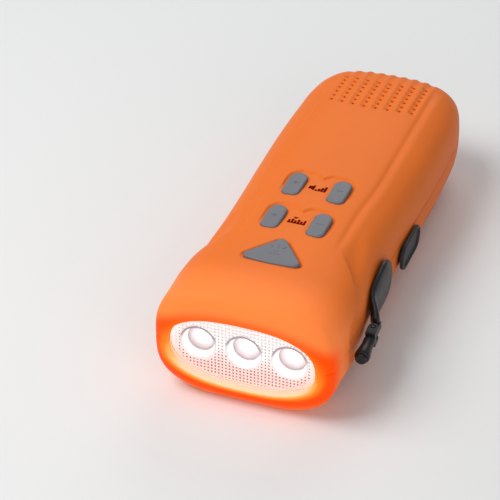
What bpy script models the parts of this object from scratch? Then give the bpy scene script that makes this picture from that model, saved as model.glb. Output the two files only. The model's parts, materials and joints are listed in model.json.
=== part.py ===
"""Hand crank flashlight radio: a moulded two-part housing with its crank, gear train and dynamo.

The origin is the middle of the flat underside. +Y runs from the lamp head to the speaker tail,
+X is the crank side and +Z is up. Lengths are in metres.
"""
import math

import bmesh
import bpy
import numpy as np
from mathutils import Matrix, Vector

MM = 0.001

# Whole body
LENGTH = 159 * MM
HEAD_HALF_WIDTH = 29.6 * MM
HEIGHT = 38.5 * MM
SPLIT_HEIGHT = 19 * MM
WALL = 2 * MM
GAP = 0.3 * MM
OVERRUN = 3 * MM
FLAT_DEPTH = 0.5 * MM
SMALL_SIDES = 8
ROUND_SIDES = 10
WIDE_SIDES = 14
HOLE_SIDES = 5
SECTION_POWER = 3
WIDTH_SHARES = ((0, 0.935), (0.02, 0.965), (0.08, 0.985), (0.15, 1.0), (0.19, 0.985), (0.24, 0.937),
                (0.28, 0.922), (0.42, 0.922), (0.55, 0.945), (0.68, 0.963), (0.80, 0.955),
                (0.88, 0.935), (0.93, 0.885), (0.97, 0.785), (1.0, 0.55))
TOP_SHARES = ((0, 0.955), (0.02, 0.99), (0.06, 1.0), (0.13, 0.98), (0.22, 0.965), (0.50, 0.965),
              (0.80, 0.96), (0.88, 0.955), (0.93, 0.93), (0.97, 0.865), (1.0, 0.74))
BOTTOM_SHARES = ((0, 0.07), (0.02, 0.02), (0.05, 0), (0.88, 0), (0.93, 0.03), (0.97, 0.13), (1.0, 0.33))
STATION_SHARES = (0.05, 0.09, 0.13, 0.17, 0.20, 0.24, 0.28, 0.35, 0.42, 0.50, 0.58, 0.66, 0.74, 0.80,
                  0.84, 0.88, 0.91, 0.94, 0.965, 0.985, 1.0)
ARC_STEPS = 12

# Lamp head
WINDOW_HALF_WIDTH = 23.6 * MM
WINDOW_HALF_HEIGHT = 11.2 * MM
WINDOW_HEIGHT = 19.4 * MM
WINDOW_POWER = 2.5
RIM_ROUND = 4 * MM
FRONT_WALL = 5.3 * MM
LENS_RECESS = 1.6 * MM
LENS_THICKNESS = 1.8 * MM
REFLECTOR_PLATE = 1.2 * MM
CUP_SPACING = 14.6 * MM
CUP_RADIUS = 5.2 * MM
CUP_THROAT_RADIUS = 3.1 * MM
CUP_DEPTH = 8.5 * MM
CUP_WALL = 0.7 * MM
CUP_HEIGHT = 20.1 * MM
WINDOW_STEPS = 12
LENS_ROUND = 0.5 * MM
LED_RADIUS = 2.5 * MM
LED_FLANGE_RADIUS = 3.6 * MM
LED_FLANGE_THICKNESS = 1.2 * MM
LED_LENGTH = 5 * MM
BOARD_THICKNESS = 1.4 * MM
LED_BOARD_MARGIN = 1.5 * MM

# Keys on the top
KEY_HALF_SPACING = 7.5 * MM
KEY_WIDTH = 6.4 * MM
KEY_LENGTH = 13 * MM
KEY_PROUD = 0.8 * MM
KEY_FLANGE = 0.8 * MM
KEY_FLANGE_THICKNESS = 1 * MM
FRONT_KEYS_AT = 50.6 * MM
REAR_KEYS_AT = 70.4 * MM
LAMP_KEY_FRONT = 25.4 * MM
LAMP_KEY_REAR = 40.4 * MM
LAMP_KEY_HALF_WIDTH = 9.8 * MM
LAMP_KEY_ROUND = 1.6 * MM
LAMP_KEY_BOW = 0.6 * MM
KEY_ROUND = 0.6 * MM
FOOT_SHARE = 0.45
KEY_TRAVEL = 0.8 * MM
SWITCH_SIZE = 5 * MM
SWITCH_HEIGHT = 1.7 * MM
STEM_RADIUS = 1.4 * MM
STEM_HEIGHT = 0.8 * MM

# Main board
BOARD_HALF_WIDTH = 18 * MM
BOARD_FRONT = 25 * MM
BOARD_LENGTH = 62 * MM
BOARD_TOP = 28.8 * MM
BOARD_BOSS_RADIUS = 2.2 * MM
BOARD_BOSS_INSET = 4 * MM
BOARD_SCREW_RADIUS = 0.8 * MM
BOARD_SCREW_HEAD = 1.6 * MM
BOARD_SCREW_GRIP = 3 * MM
CHIP_SIZE = 9 * MM
CHIP_THICKNESS = 1.2 * MM
CHIP_AT = 34 * MM

# Speaker grille and speaker
GRILLE_PITCH = 4.1 * MM
GRILLE_COLUMNS = 8
GRILLE_ROWS = 7
GRILLE_START = 124.2 * MM
GRILLE_ROW_PITCH = 2.9 * MM
GRILLE_HOLE_RADIUS = 0.75 * MM
GRILLE_ARC_RADIUS = 50 * MM
GRILLE_END_MARGIN = 6 * MM
VALLEY_STEPS = 5
VALLEY_RADIUS = 2.4 * MM
VALLEY_DEPTH = 0.55 * MM
SPEAKER_RADIUS = 14 * MM
SPEAKER_AT = 132 * MM
SPEAKER_RIM_HEIGHT = 29.4 * MM
SPEAKER_RIM_THICKNESS = 1 * MM
SPEAKER_BACK_RADIUS = 8 * MM
SPEAKER_DEPTH = 5.5 * MM
MAGNET_RADIUS = 7.4 * MM
MAGNET_THICKNESS = 4 * MM
CONE_THICKNESS = 0.5 * MM
PILLAR_RADIUS = 1.6 * MM

# Crank
HUB_AT = 52 * MM
CRANK_SLOPE = math.radians(6)
HUB_RADIUS = 7.6 * MM
ARM_THICKNESS = 2.4 * MM
ARM_OFFSET = 27.7 * MM
ARM_BEND = 3.6 * MM
BEND_START = 10 * MM
BEND_END = 20 * MM
KNUCKLE_AT = 23 * MM
KNUCKLE_RADIUS = 1.6 * MM
TONGUE_HEIGHT = 2.4 * MM
EAR_HEIGHT = 1.3 * MM
FOLD_PIN_RADIUS = 0.5 * MM
POST_RADIUS = 1.1 * MM
POST_START = 3.2 * MM
KNOB_LENGTH = 8.2 * MM
KNOB_RADIUS = 2.4 * MM
KNOB_NECK_RADIUS = 1.9 * MM
SHAFT_RADIUS = 2 * MM
SHAFT_START = 13.2 * MM
ARM_SKIN = 0.9 * MM
KNOB_CAP_THICKNESS = 0.8 * MM
ARM_EDGE_ROUND = 0.7 * MM
ARM_SHARES = ((0, 1), (0.25, 0.97), (0.5, 0.86), (0.62, 0.77), (0.75, 0.65), (0.88, 0.52), (1, 0.42))

# Gear train and dynamo
MODULE = 0.5 * MM
WHEEL_TEETH = 36
PINION_TEETH = 9
BACKLASH = 0.12 * MM
TIP_SHARE = 0.9
ROOT_SHARE = 1.2
ROOT_WIDTH_SHARE = 0.34
TIP_WIDTH_SHARE = 0.3
GEAR_WIDTH = 2 * MM
DRIVE_GEAR_X = 18.6 * MM
WHEEL_X = 16 * MM
WHEEL_AXIS_DROP = math.radians(-21)
ROTOR_AXIS_DROP = math.radians(2)
AXLE_RADIUS = 0.8 * MM
PLATE_THICKNESS = 1.4 * MM
INNER_PLATE_X = 14 * MM
OUTER_PLATE_X = 21 * MM
PLATE_MARGIN = 2.6 * MM
PLATE_POST_RADIUS = 1.2 * MM
FRONT_POST_ANGLE = math.radians(205)
REAR_POST_ANGLE = math.radians(58)
CASE_CRADLE_SHARES = (0.2, 0.8)
CASE_RADIUS = 10.4 * MM
CASE_WALL = 0.9 * MM
CASE_LENGTH = 17 * MM
MAGNET_DRUM_RADIUS = 6.4 * MM
MAGNET_DRUM_LENGTH = 12 * MM
COIL_THICKNESS = 2 * MM
GEARBOX_SCREW_RADIUS = 0.9 * MM

# Sockets and their cover
PORT_AT = 80 * MM
PORT_HEIGHT = 14.8 * MM
PORT_SLOT_LENGTH = 16.4 * MM
PORT_SLOT_WIDTH = 6 * MM
COVER_LENGTH = 20 * MM
COVER_WIDTH = 9 * MM
COVER_THICKNESS = 1.2 * MM
COVER_X = 28.5 * MM
COVER_DISH = 0.35 * MM
COVER_RIM = 1.1 * MM
PLUG_DEPTH = 1.6 * MM
SOCKET_X = 24.6 * MM
SOCKET_DEPTH = 6 * MM
USB_WIDTH = 8 * MM
USB_HEIGHT = 3.2 * MM
USB_WALL = 0.5 * MM
JACK_RADIUS = 2.1 * MM
JACK_BORE_RADIUS = 1.4 * MM
PORT_BOARD_INNER_X = 18.4 * MM
PORT_BOARD_POSTS = (73 * MM, 87 * MM)
PORT_REST_FOOT = 4 * MM

# Battery
CELL_RADIUS = 7.1 * MM
CELL_LENGTH = 38 * MM
CELL_AT = 101 * MM
CELL_BUTTON_RADIUS = 2.6 * MM
CELL_BUTTON_LENGTH = 1 * MM
CONTACT_THICKNESS = 0.5 * MM
CRADLE_THICKNESS = 1.6 * MM
CRADLE_SPACING = 26 * MM
CRADLE_FLOOR = 2.2 * MM

# Fastenings
BOSS_RADIUS = 2.8 * MM
BOSS_FOOT = 2.9 * MM
SCREW_RADIUS = 1 * MM
SCREW_HEAD_RADIUS = 2 * MM
SCREW_HEAD_HEIGHT = 1.2 * MM
SCREW_SINK = 2.4 * MM
SCREW_GRIP = 7 * MM
FRONT_BOSS_AT = 20.5 * MM
REAR_BOSS_AT = 113.5 * MM
BOSS_HALF_SPACING = 19.5 * MM

# Leads
LEAD_RADIUS = 0.6 * MM
LEAD_STEPS = 3

ORANGE = (0.82, 0.19, 0.04, 1)
SOFT_GREY = (0.20, 0.20, 0.22, 1)
DARK_GREY = (0.045, 0.043, 0.047, 1)
CLEAR = (0.95, 0.95, 0.95, 1)
SILVER = (0.80, 0.80, 0.80, 1)
BOARD_GREEN = (0.03, 0.16, 0.07, 1)
STEEL = (0.55, 0.55, 0.56, 1)
NATURAL = (0.78, 0.76, 0.70, 1)
BLACK = (0.02, 0.02, 0.02, 1)
COPPER = (0.65, 0.28, 0.12, 1)


def from_front(distance):
    """World Y of a place measured from the lamp head."""
    return distance - LENGTH / 2


def clear_scene():
    for old in list(bpy.data.objects):
        bpy.data.objects.remove(old, do_unlink=True)


def paint(obj, name, color, roughness, metallic=0):
    """Give the object a material of its own."""
    material = bpy.data.materials.new(name)
    material.use_nodes = True
    shader = material.node_tree.nodes["Principled BSDF"]
    shader.inputs["Base Color"].default_value = color
    shader.inputs["Roughness"].default_value = roughness
    shader.inputs["Metallic"].default_value = metallic
    obj.data.materials.clear()
    obj.data.materials.append(material)


def new_object(name, bm, smooth_angle=math.radians(35)):
    """Turn a bmesh into a linked object with sharp edges kept."""
    bmesh.ops.recalc_face_normals(bm, faces=bm.faces)
    mesh = bpy.data.meshes.new(name)
    bm.to_mesh(mesh)
    bm.free()
    mesh.shade_smooth()
    mesh.set_sharp_from_angle(angle=smooth_angle)
    obj = bpy.data.objects.new(name, mesh)
    bpy.context.collection.objects.link(obj)
    return obj


def hold(cutter):
    """Keep a cutter out of the model."""
    cutter.hide_render = True
    cutter.display_type = "WIRE"
    return cutter


def combine(obj, tool, operation, solver="EXACT"):
    """Cut or join the object with a tool that stays hidden."""
    modifier = obj.modifiers.new(operation.title(), "BOOLEAN")
    modifier.operation = operation
    modifier.solver = solver
    modifier.object = hold(tool)


def combine_closed(obj, tool, operation):
    """Combine with the solver for closed skins, where the exact one leaves slits between flush faces."""
    combine(obj, tool, operation, "MANIFOLD")


def smooth_value(table, share):
    """Read a table of (place, value) shares along a smooth curve through its points."""
    places = [row[0] for row in table]
    values = [row[1] for row in table]
    slopes = np.gradient(values, places)
    i = min(max(np.searchsorted(places, share) - 1, 0), len(places) - 2)
    span = places[i + 1] - places[i]
    t = (share - places[i]) / span
    start = (1 + 2 * t) * (1 - t) ** 2 * values[i] + t * (1 - t) ** 2 * span * slopes[i]
    end = t * t * (3 - 2 * t) * values[i + 1] + t * t * (t - 1) * span * slopes[i + 1]
    return float(start + end)


def half_width(distance):
    return HEAD_HALF_WIDTH * smooth_value(WIDTH_SHARES, distance / LENGTH)


def top_height(distance):
    return HEIGHT * smooth_value(TOP_SHARES, distance / LENGTH)


def bottom_height(distance):
    return max(HEIGHT * smooth_value(BOTTOM_SHARES, distance / LENGTH), 0)


def power_arc(half_x, rise, power, count):
    """Points of half a rounded section, from +X over the crown to -X."""
    points = []
    for i in range(count + 1):
        angle = math.pi * i / count
        c = math.cos(angle)
        s = math.sin(angle)
        x = math.copysign(abs(c) ** (2 / power), c) * half_x if 0 < i < count else math.copysign(half_x, c)
        z = rise * s ** (2 / power) if 0 < i < count else 0
        points.append((x, z))
    return points


def shell_ring(distance, side, inset, base):
    """Half section of the housing at a distance from the front, drawn in by inset."""
    half_x = half_width(distance) - inset
    if side > 0:
        rise = top_height(distance) - base - inset
        return [(x, base + z) for x, z in power_arc(half_x, rise, SECTION_POWER, ARC_STEPS)]
    floor = bottom_height(distance) + inset
    arc = power_arc(half_x, base - floor + FLAT_DEPTH, SECTION_POWER, ARC_STEPS)
    return [(x, max(base - z, floor)) for x, z in arc]


def window_ring(side, margin, base):
    """Half outline of the lamp window on the same split plane."""
    half_x = WINDOW_HALF_WIDTH + margin
    offset = WINDOW_HEIGHT - base
    rise = WINDOW_HALF_HEIGHT + margin + side * offset
    return [(x, base + side * z) for x, z in power_arc(half_x, rise, WINDOW_POWER, ARC_STEPS)]


def mix_rings(first, second, share):
    return [((1 - share) * a[0] + share * b[0], (1 - share) * a[1] + share * b[1])
            for a, b in zip(first, second)]


def zip_edges(bm, outside, inside):
    """Fill the wall between two edges that run to the tail, a triangle at a time."""
    i = j = 0
    while i < len(outside) - 1 or j < len(inside) - 1:
        step_out = j == len(inside) - 1 or (i < len(outside) - 1 and outside[i + 1].co.y < inside[j + 1].co.y)
        if step_out:
            bm.faces.new((outside[i], outside[i + 1], inside[j]))
            i += 1
        else:
            bm.faces.new((outside[i], inside[j + 1], inside[j]))
            j += 1


def half_shell(name, side, base):
    """One closed moulding: outer skin, inner skin, window edge and the split face."""
    body_start = LENGTH * STATION_SHARES[0]
    outer = [(FRONT_WALL, window_ring(side, 0, base)), (LENS_RECESS / 2, window_ring(side, 0, base))]
    nose = shell_ring(0, side, 0, base)
    edge = window_ring(side, 0, base)
    for angle in np.radians((15, 35, 55, 75)):
        outer.append((RIM_ROUND * (1 - math.cos(angle)), mix_rings(edge, nose, math.sin(angle))))
    outer.append((RIM_ROUND, shell_ring(RIM_ROUND, side, 0, base)))
    outer.append(((RIM_ROUND + body_start) / 2, shell_ring((RIM_ROUND + body_start) / 2, side, 0, base)))
    outer += [(LENGTH * share, shell_ring(LENGTH * share, side, 0, base)) for share in STATION_SHARES]
    inner = [(FRONT_WALL, shell_ring(FRONT_WALL, side, WALL, base))]
    for share in STATION_SHARES[1:]:
        place = min(LENGTH * share, LENGTH - WALL)
        inner.append((place, shell_ring(min(place + WALL, LENGTH), side, WALL, base)))
    bm = bmesh.new()

    def skin(rings):
        rows = [[bm.verts.new((x, from_front(y), z)) for x, z in ring] for y, ring in rings]
        for near, far in zip(rows, rows[1:]):
            for i in range(ARC_STEPS):
                bm.faces.new((near[i], near[i + 1], far[i + 1], far[i]))
        pole = bm.verts.new((0, from_front(rings[-1][0]), base))
        for i in range(ARC_STEPS):
            bm.faces.new((rows[-1][i], rows[-1][i + 1], pole))
        return rows, pole

    outer_rows, outer_pole = skin(outer)
    inner_rows, inner_pole = skin(inner)
    for i in range(ARC_STEPS):
        bm.faces.new((outer_rows[0][i], outer_rows[0][i + 1], inner_rows[0][i + 1], inner_rows[0][i]))
    for edge in (0, -1):
        zip_edges(bm, [row[edge] for row in outer_rows] + [outer_pole],
                  [row[edge] for row in inner_rows] + [inner_pole])
    return new_object(name, bm)


def prism(name, outline, start, end, axis="Z", centre=(0, 0, 0)):
    """Extrude a closed outline of (u, v) points along an axis between two heights."""
    def place(u, v, h):
        local = {"Z": (u, v, h), "X": (h, u, v), "Y": (u, h, v)}[axis]
        return tuple(local[i] + centre[i] for i in range(3))
    bm = bmesh.new()
    low = [bm.verts.new(place(u, v, start)) for u, v in outline]
    high = [bm.verts.new(place(u, v, end)) for u, v in outline]
    bm.faces.new(low)
    bm.faces.new(high)
    for i in range(len(outline)):
        j = (i + 1) % len(outline)
        bm.faces.new((low[i], low[j], high[j], high[i]))
    return new_object(name, bm)


def turned(name, profile, axis="Z", centre=(0, 0, 0), steps=WIDE_SIDES):
    """Turn a profile of (radius, height) points; one that leaves the axis makes a ring."""
    closed = min(r for r, h in profile) > 0
    bm = bmesh.new()
    rows = []
    for r, h in profile:
        if r == 0:
            rows.append([bm.verts.new(spun(0, 0, h, axis, centre))])
            continue
        angles = [2 * math.pi * i / steps for i in range(steps)]
        rows.append([bm.verts.new(spun(r * math.cos(a), r * math.sin(a), h, axis, centre)) for a in angles])
    pairs = list(zip(rows, rows[1:]))
    if closed:
        pairs.append((rows[-1], rows[0]))
    for near, far in pairs:
        for i in range(steps):
            j = (i + 1) % steps
            if len(near) == 1:
                bm.faces.new((near[0], far[i], far[j]))
            elif len(far) == 1:
                bm.faces.new((near[i], near[j], far[0]))
            else:
                bm.faces.new((near[i], near[j], far[j], far[i]))
    return new_object(name, bm)


def spun(u, v, h, axis, centre):
    """Place a point of a turned shape whose axis lies along X, Y or Z."""
    local = {"Z": (u, v, h), "X": (h, u, v), "Y": (u, h, v)}[axis]
    return tuple(local[i] + centre[i] for i in range(3))


def disc_profile(radius, start, end, round_over=0):
    """Profile of a solid cylinder, with its far edge rounded off if asked."""
    far = [(radius, end)]
    if round_over:
        far = [(radius, end - round_over), (radius - round_over / 3, end - round_over / 3),
               (radius - round_over, end)]
    return [(0, start), (radius, start)] + far + [(0, end)]


def ring_profile(bore, radius, start, end):
    return [(bore, start), (radius, start), (radius, end), (bore, end)]


def merge(name, objects):
    """Join several closed shapes into one tool or one group."""
    bm = bmesh.new()
    for obj in objects:
        obj.data.transform(obj.matrix_basis)
        bm.from_mesh(obj.data)
        bpy.data.objects.remove(obj, do_unlink=True)
    return new_object(name, bm)


def rounded_slot(width, length, steps=5):
    """Outline of a slot with round ends, long along its second direction."""
    radius = width / 2
    reach = length / 2 - radius
    points = []
    for sign, start in ((1, 0), (-1, math.pi)):
        for i in range(steps + 1):
            angle = start + math.pi * i / steps
            points.append((radius * math.cos(angle), sign * reach + radius * math.sin(angle)))
    return points


def rounded_rectangle(width, length, radius, steps=4):
    points = []
    for quarter, (sx, sy) in enumerate(((1, 1), (-1, 1), (-1, -1), (1, -1))):
        for i in range(steps + 1):
            angle = math.pi / 2 * (quarter + i / steps)
            points.append((sx * (width / 2 - radius) + radius * math.cos(angle),
                           sy * (length / 2 - radius) + radius * math.sin(angle)))
    return points


def circle(radius, steps=ROUND_SIDES, centre=(0, 0)):
    return [(centre[0] + radius * math.cos(2 * math.pi * i / steps),
             centre[1] + radius * math.sin(2 * math.pi * i / steps)) for i in range(steps)]


def loft(name, layers, axis="Z", centre=(0, 0, 0)):
    """Skin a stack of outlines that have the same number of points, with flat ends."""
    bm = bmesh.new()
    rows = [[bm.verts.new(spun(u, v, h, axis, centre)) for u, v in outline] for outline, h in layers]
    count = len(rows[0])
    for near, far in zip(rows, rows[1:]):
        for i in range(count):
            j = (i + 1) % count
            bm.faces.new((near[i], near[j], far[j], far[i]))
    bm.faces.new(rows[0])
    bm.faces.new(rows[-1])
    return new_object(name, bm)


def moved(outline, u, v):
    return [(a + u, b + v) for a, b in outline]


def box_outline(width, length):
    return [(-width / 2, -length / 2), (width / 2, -length / 2), (width / 2, length / 2),
            (-width / 2, length / 2)]


def hull_outline(circles):
    """Outline of a plate stretched round several (u, v, radius) bosses."""
    points = sorted(p for u, v, r in circles for p in circle(r, WIDE_SIDES, (u, v)))
    sides = []
    for run in (points, points[::-1]):
        chain = []
        for p in run:
            while len(chain) > 1 and ((chain[-1][0] - chain[-2][0]) * (p[1] - chain[-2][1])
                                      <= (chain[-1][1] - chain[-2][1]) * (p[0] - chain[-2][0])):
                chain.pop()
            chain.append(p)
        sides += chain[:-1]
    return sides


def tube(name, points, radius):
    """A round lead along a smooth curve through the route's own points."""
    knots = [Vector(p) for p in points]
    route = []
    for i in range(len(knots) - 1):
        before = knots[max(i - 1, 0)]
        after = knots[min(i + 2, len(knots) - 1)]
        for step in range(LEAD_STEPS):
            t = step / LEAD_STEPS
            tangent = (knots[i + 1] - before) / 2
            next_tangent = (after - knots[i]) / 2
            route.append((1 + 2 * t) * (1 - t) ** 2 * knots[i] + t * (1 - t) ** 2 * tangent
                         + t * t * (3 - 2 * t) * knots[i + 1] + t * t * (t - 1) * next_tangent)
    route.append(knots[-1])
    curve = bpy.data.curves.new(name, "CURVE")
    curve.dimensions = "3D"
    curve.bevel_depth = radius
    curve.bevel_resolution = 2
    curve.use_fill_caps = True
    spline = curve.splines.new("POLY")
    spline.points.add(len(route) - 1)
    for point, place in zip(spline.points, route):
        point.co = (*place, 1)
    obj = bpy.data.objects.new(name, curve)
    bpy.context.collection.objects.link(obj)
    return obj


def roof(distance, x, inset=0):
    """Height of the top skin, or of its inside, at a place."""
    rise = top_height(distance) - SPLIT_HEIGHT - inset
    share = min(abs(x) / (half_width(distance) - inset), 1)
    return SPLIT_HEIGHT + rise * (1 - share ** SECTION_POWER) ** (1 / SECTION_POWER)


def key_outline(margin=0):
    return rounded_slot(KEY_WIDTH + 2 * margin, KEY_LENGTH + 2 * margin)


def lamp_key_outline(margin=0):
    """Rounded triangle that points to the tail, with its foot slightly bowed."""
    middle = (LAMP_KEY_FRONT + LAMP_KEY_REAR) / 2
    radius = LAMP_KEY_ROUND + margin
    left = LAMP_KEY_HALF_WIDTH - LAMP_KEY_ROUND
    foot = LAMP_KEY_FRONT + LAMP_KEY_ROUND - middle
    tip = LAMP_KEY_REAR - LAMP_KEY_ROUND - middle
    lean = math.atan2(tip - foot, left)
    corners = ((left, foot, -math.pi / 2, math.pi / 2 - lean),
               (0, tip, math.pi / 2 - lean, math.pi / 2 + lean),
               (-left, foot, math.pi / 2 + lean, 3 * math.pi / 2))
    points = []
    for u, v, start, end in corners:
        for i in range(6):
            angle = start + (end - start) * i / 5
            points.append((u + radius * math.cos(angle), v + radius * math.sin(angle)))
    points.append((0, foot - radius - LAMP_KEY_BOW))
    return points


KEYS = {
    "tune_down_key": (key_outline, -KEY_HALF_SPACING, FRONT_KEYS_AT),
    "tune_up_key": (key_outline, KEY_HALF_SPACING, FRONT_KEYS_AT),
    "volume_down_key": (key_outline, -KEY_HALF_SPACING, REAR_KEYS_AT),
    "volume_up_key": (key_outline, KEY_HALF_SPACING, REAR_KEYS_AT),
    "lamp_key": (lamp_key_outline, 0, (LAMP_KEY_FRONT + LAMP_KEY_REAR) / 2),
}


def gear_outline(teeth, phase):
    """Trapezoid teeth on their root circle, one tooth centred on the phase angle."""
    pitch_radius = MODULE * teeth / 2
    tip = pitch_radius + MODULE * TIP_SHARE
    root = pitch_radius - MODULE * ROOT_SHARE
    step = 2 * math.pi / teeth
    root_half = step * ROOT_WIDTH_SHARE
    tip_half = MODULE * TIP_WIDTH_SHARE / tip
    points = []
    for i in range(teeth):
        middle = phase + step * i
        for radius, angle in ((root, middle - root_half), (tip, middle - tip_half),
                              (tip, middle + tip_half), (root, middle + root_half)):
            points.append((radius * math.cos(angle), radius * math.sin(angle)))
    return points


def gear_blank(name, teeth, phase, start, centre):
    """A spur gear along X without a bore."""
    return prism(name, gear_outline(teeth, phase), start, start + GEAR_WIDTH, "X", centre)


def gear(name, teeth, phase, start, centre, bore):
    """A spur gear along X with a bore for its shaft."""
    wheel = gear_blank(name, teeth, phase, start, centre)
    hole = turned(name + "_bore", disc_profile(bore, start - OVERRUN, start + GEAR_WIDTH + OVERRUN), "X", centre,
                  ROUND_SIDES)
    combine(wheel, hole, "DIFFERENCE")
    return wheel


HUB = (0, from_front(HUB_AT), SPLIT_HEIGHT)
CENTRE_DISTANCE = MODULE * (WHEEL_TEETH + PINION_TEETH) / 2 + BACKLASH
WHEEL_AXIS = (0, HUB[1] + CENTRE_DISTANCE * math.cos(WHEEL_AXIS_DROP),
              HUB[2] + CENTRE_DISTANCE * math.sin(WHEEL_AXIS_DROP))
ROTOR_AXIS = (0, WHEEL_AXIS[1] + CENTRE_DISTANCE * math.cos(ROTOR_AXIS_DROP),
              WHEEL_AXIS[2] + CENTRE_DISTANCE * math.sin(ROTOR_AXIS_DROP))
POST_DISTANCE = MODULE * (WHEEL_TEETH / 2 + 1) + PLATE_POST_RADIUS + GAP
PLATE_POSTS = ((HUB[1] + POST_DISTANCE * math.cos(FRONT_POST_ANGLE),
                HUB[2] + POST_DISTANCE * math.sin(FRONT_POST_ANGLE)),
               (WHEEL_AXIS[1] + POST_DISTANCE * math.cos(REAR_POST_ANGLE),
                WHEEL_AXIS[2] + POST_DISTANCE * math.sin(REAR_POST_ANGLE)))
BOSSES = [(sign * BOSS_HALF_SPACING, from_front(place)) for place in (FRONT_BOSS_AT, REAR_BOSS_AT)
          for sign in (-1, 1)]
BOARD_BOSSES = [(sign * (BOARD_HALF_WIDTH - BOARD_BOSS_INSET), from_front(place)) for sign in (-1, 1)
                for place in (BOARD_FRONT + BOARD_BOSS_INSET, BOARD_FRONT + BOARD_LENGTH - BOARD_BOSS_INSET)]
BOARD_SCREW_PLACES = (BOARD_BOSSES[0], BOARD_BOSSES[3])
CELL_HEIGHT = WALL + GAP + CRADLE_FLOOR + CELL_RADIUS
COVER_HINGE = (COVER_X + COVER_THICKNESS / 2, from_front(PORT_AT + COVER_LENGTH / 2), PORT_HEIGHT)


def post_tools(name, places, radius, start, end):
    """Round posts or holes standing at several (x, y) places."""
    profile = disc_profile(radius, start, end)
    return merge(name, [turned("post", profile, "Z", (x, y, 0), ROUND_SIDES) for x, y in places])


def make_top_shell():
    shell = half_shell("top_shell", 1, SPLIT_HEIGHT)
    roof_inside = min(roof(FRONT_BOSS_AT, BOSS_HALF_SPACING, WALL),
                      roof(REAR_BOSS_AT, BOSS_HALF_SPACING, WALL))
    combine_closed(shell, post_tools("roof_pillars", BOSSES, BOSS_RADIUS, SPLIT_HEIGHT, roof_inside),
                   "UNION")
    board_roof = roof(BOARD_FRONT + BOARD_BOSS_INSET, BOARD_HALF_WIDTH - BOARD_BOSS_INSET, WALL / 2)
    combine_closed(shell, post_tools("board_pillars", BOARD_BOSSES, BOARD_BOSS_RADIUS, BOARD_TOP + GAP,
                                     board_roof), "UNION")
    holes = []
    for outline, x, distance in KEYS.values():
        low = SPLIT_HEIGHT + BOSS_HALF_SPACING / 2
        holes.append(prism("key_hole", outline(GAP), low, HEIGHT + OVERRUN, "Z",
                           (x, from_front(distance), 0)))
    combine_closed(shell, merge("key_holes", holes), "DIFFERENCE")
    screws = [(x, y) for x, y in BOSSES]
    pilot = post_tools("pillar_pilots", screws, SCREW_RADIUS + GAP, SPLIT_HEIGHT - OVERRUN,
                       SPLIT_HEIGHT + SCREW_GRIP + GAP)
    combine_closed(shell, pilot, "DIFFERENCE")
    board_pilot = post_tools("board_pilots", BOARD_SCREW_PLACES, BOARD_SCREW_RADIUS + GAP,
                             BOARD_TOP - OVERRUN,
                             BOARD_TOP + GAP + BOARD_SCREW_GRIP + GAP)
    combine_closed(shell, board_pilot, "DIFFERENCE")
    combine_closed(shell, crank_hole("top_crank_hole"), "DIFFERENCE")
    combine_closed(shell, grille_valleys(), "DIFFERENCE")
    combine_closed(shell, grille_holes(), "DIFFERENCE")
    paint(shell, "orange_plastic_top", ORANGE, 0.42)


def crank_hole(name):
    return turned(name, disc_profile(SHAFT_RADIUS + GAP, OUTER_PLATE_X, HEAD_HALF_WIDTH + OVERRUN), "X", HUB,
                  WIDE_SIDES)


def grille_columns():
    first = -GRILLE_PITCH * (GRILLE_COLUMNS - 1) / 2
    return [first + GRILLE_PITCH * i for i in range(GRILLE_COLUMNS)]


def grille_start(x):
    """The grille begins on a shallow arc that bows to the lamp head."""
    return GRILLE_START + x * x / (GRILLE_ARC_RADIUS * 2)


def grille_valleys():
    """Round valleys that run over the tail end and leave ribs between them."""
    tools = []
    for x in grille_columns():
        layers = []
        for place in np.linspace(grille_start(x) - GRILLE_ROW_PITCH / 2, LENGTH + OVERRUN, VALLEY_STEPS):
            inside = min(place, LENGTH)
            fade = min((place - grille_start(x) + GRILLE_ROW_PITCH / 2) / GRILLE_ROW_PITCH, 1)
            height = roof(inside, x) + VALLEY_RADIUS - VALLEY_DEPTH * fade + (1 - fade) * GAP
            layers.append(([(x + u, height + v) for u, v in circle(VALLEY_RADIUS, SMALL_SIDES)],
                           from_front(place)))
        tools.append(loft("valley", layers, "Y"))
    return merge("grille_valleys", tools)


def grille_holes():
    holes = []
    for x in grille_columns():
        for row in range(GRILLE_ROWS):
            place = grille_start(x) + GRILLE_ROW_PITCH * (row + 1 / 2)
            if place > LENGTH - GRILLE_END_MARGIN:
                continue
            centre = (x, from_front(place), 0)
            top = roof(place, x)
            holes.append(turned("hole", disc_profile(GRILLE_HOLE_RADIUS, top - OVERRUN * 2, top + OVERRUN),
                                "Z", centre, HOLE_SIDES))
    return merge("grille_holes", holes)


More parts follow.
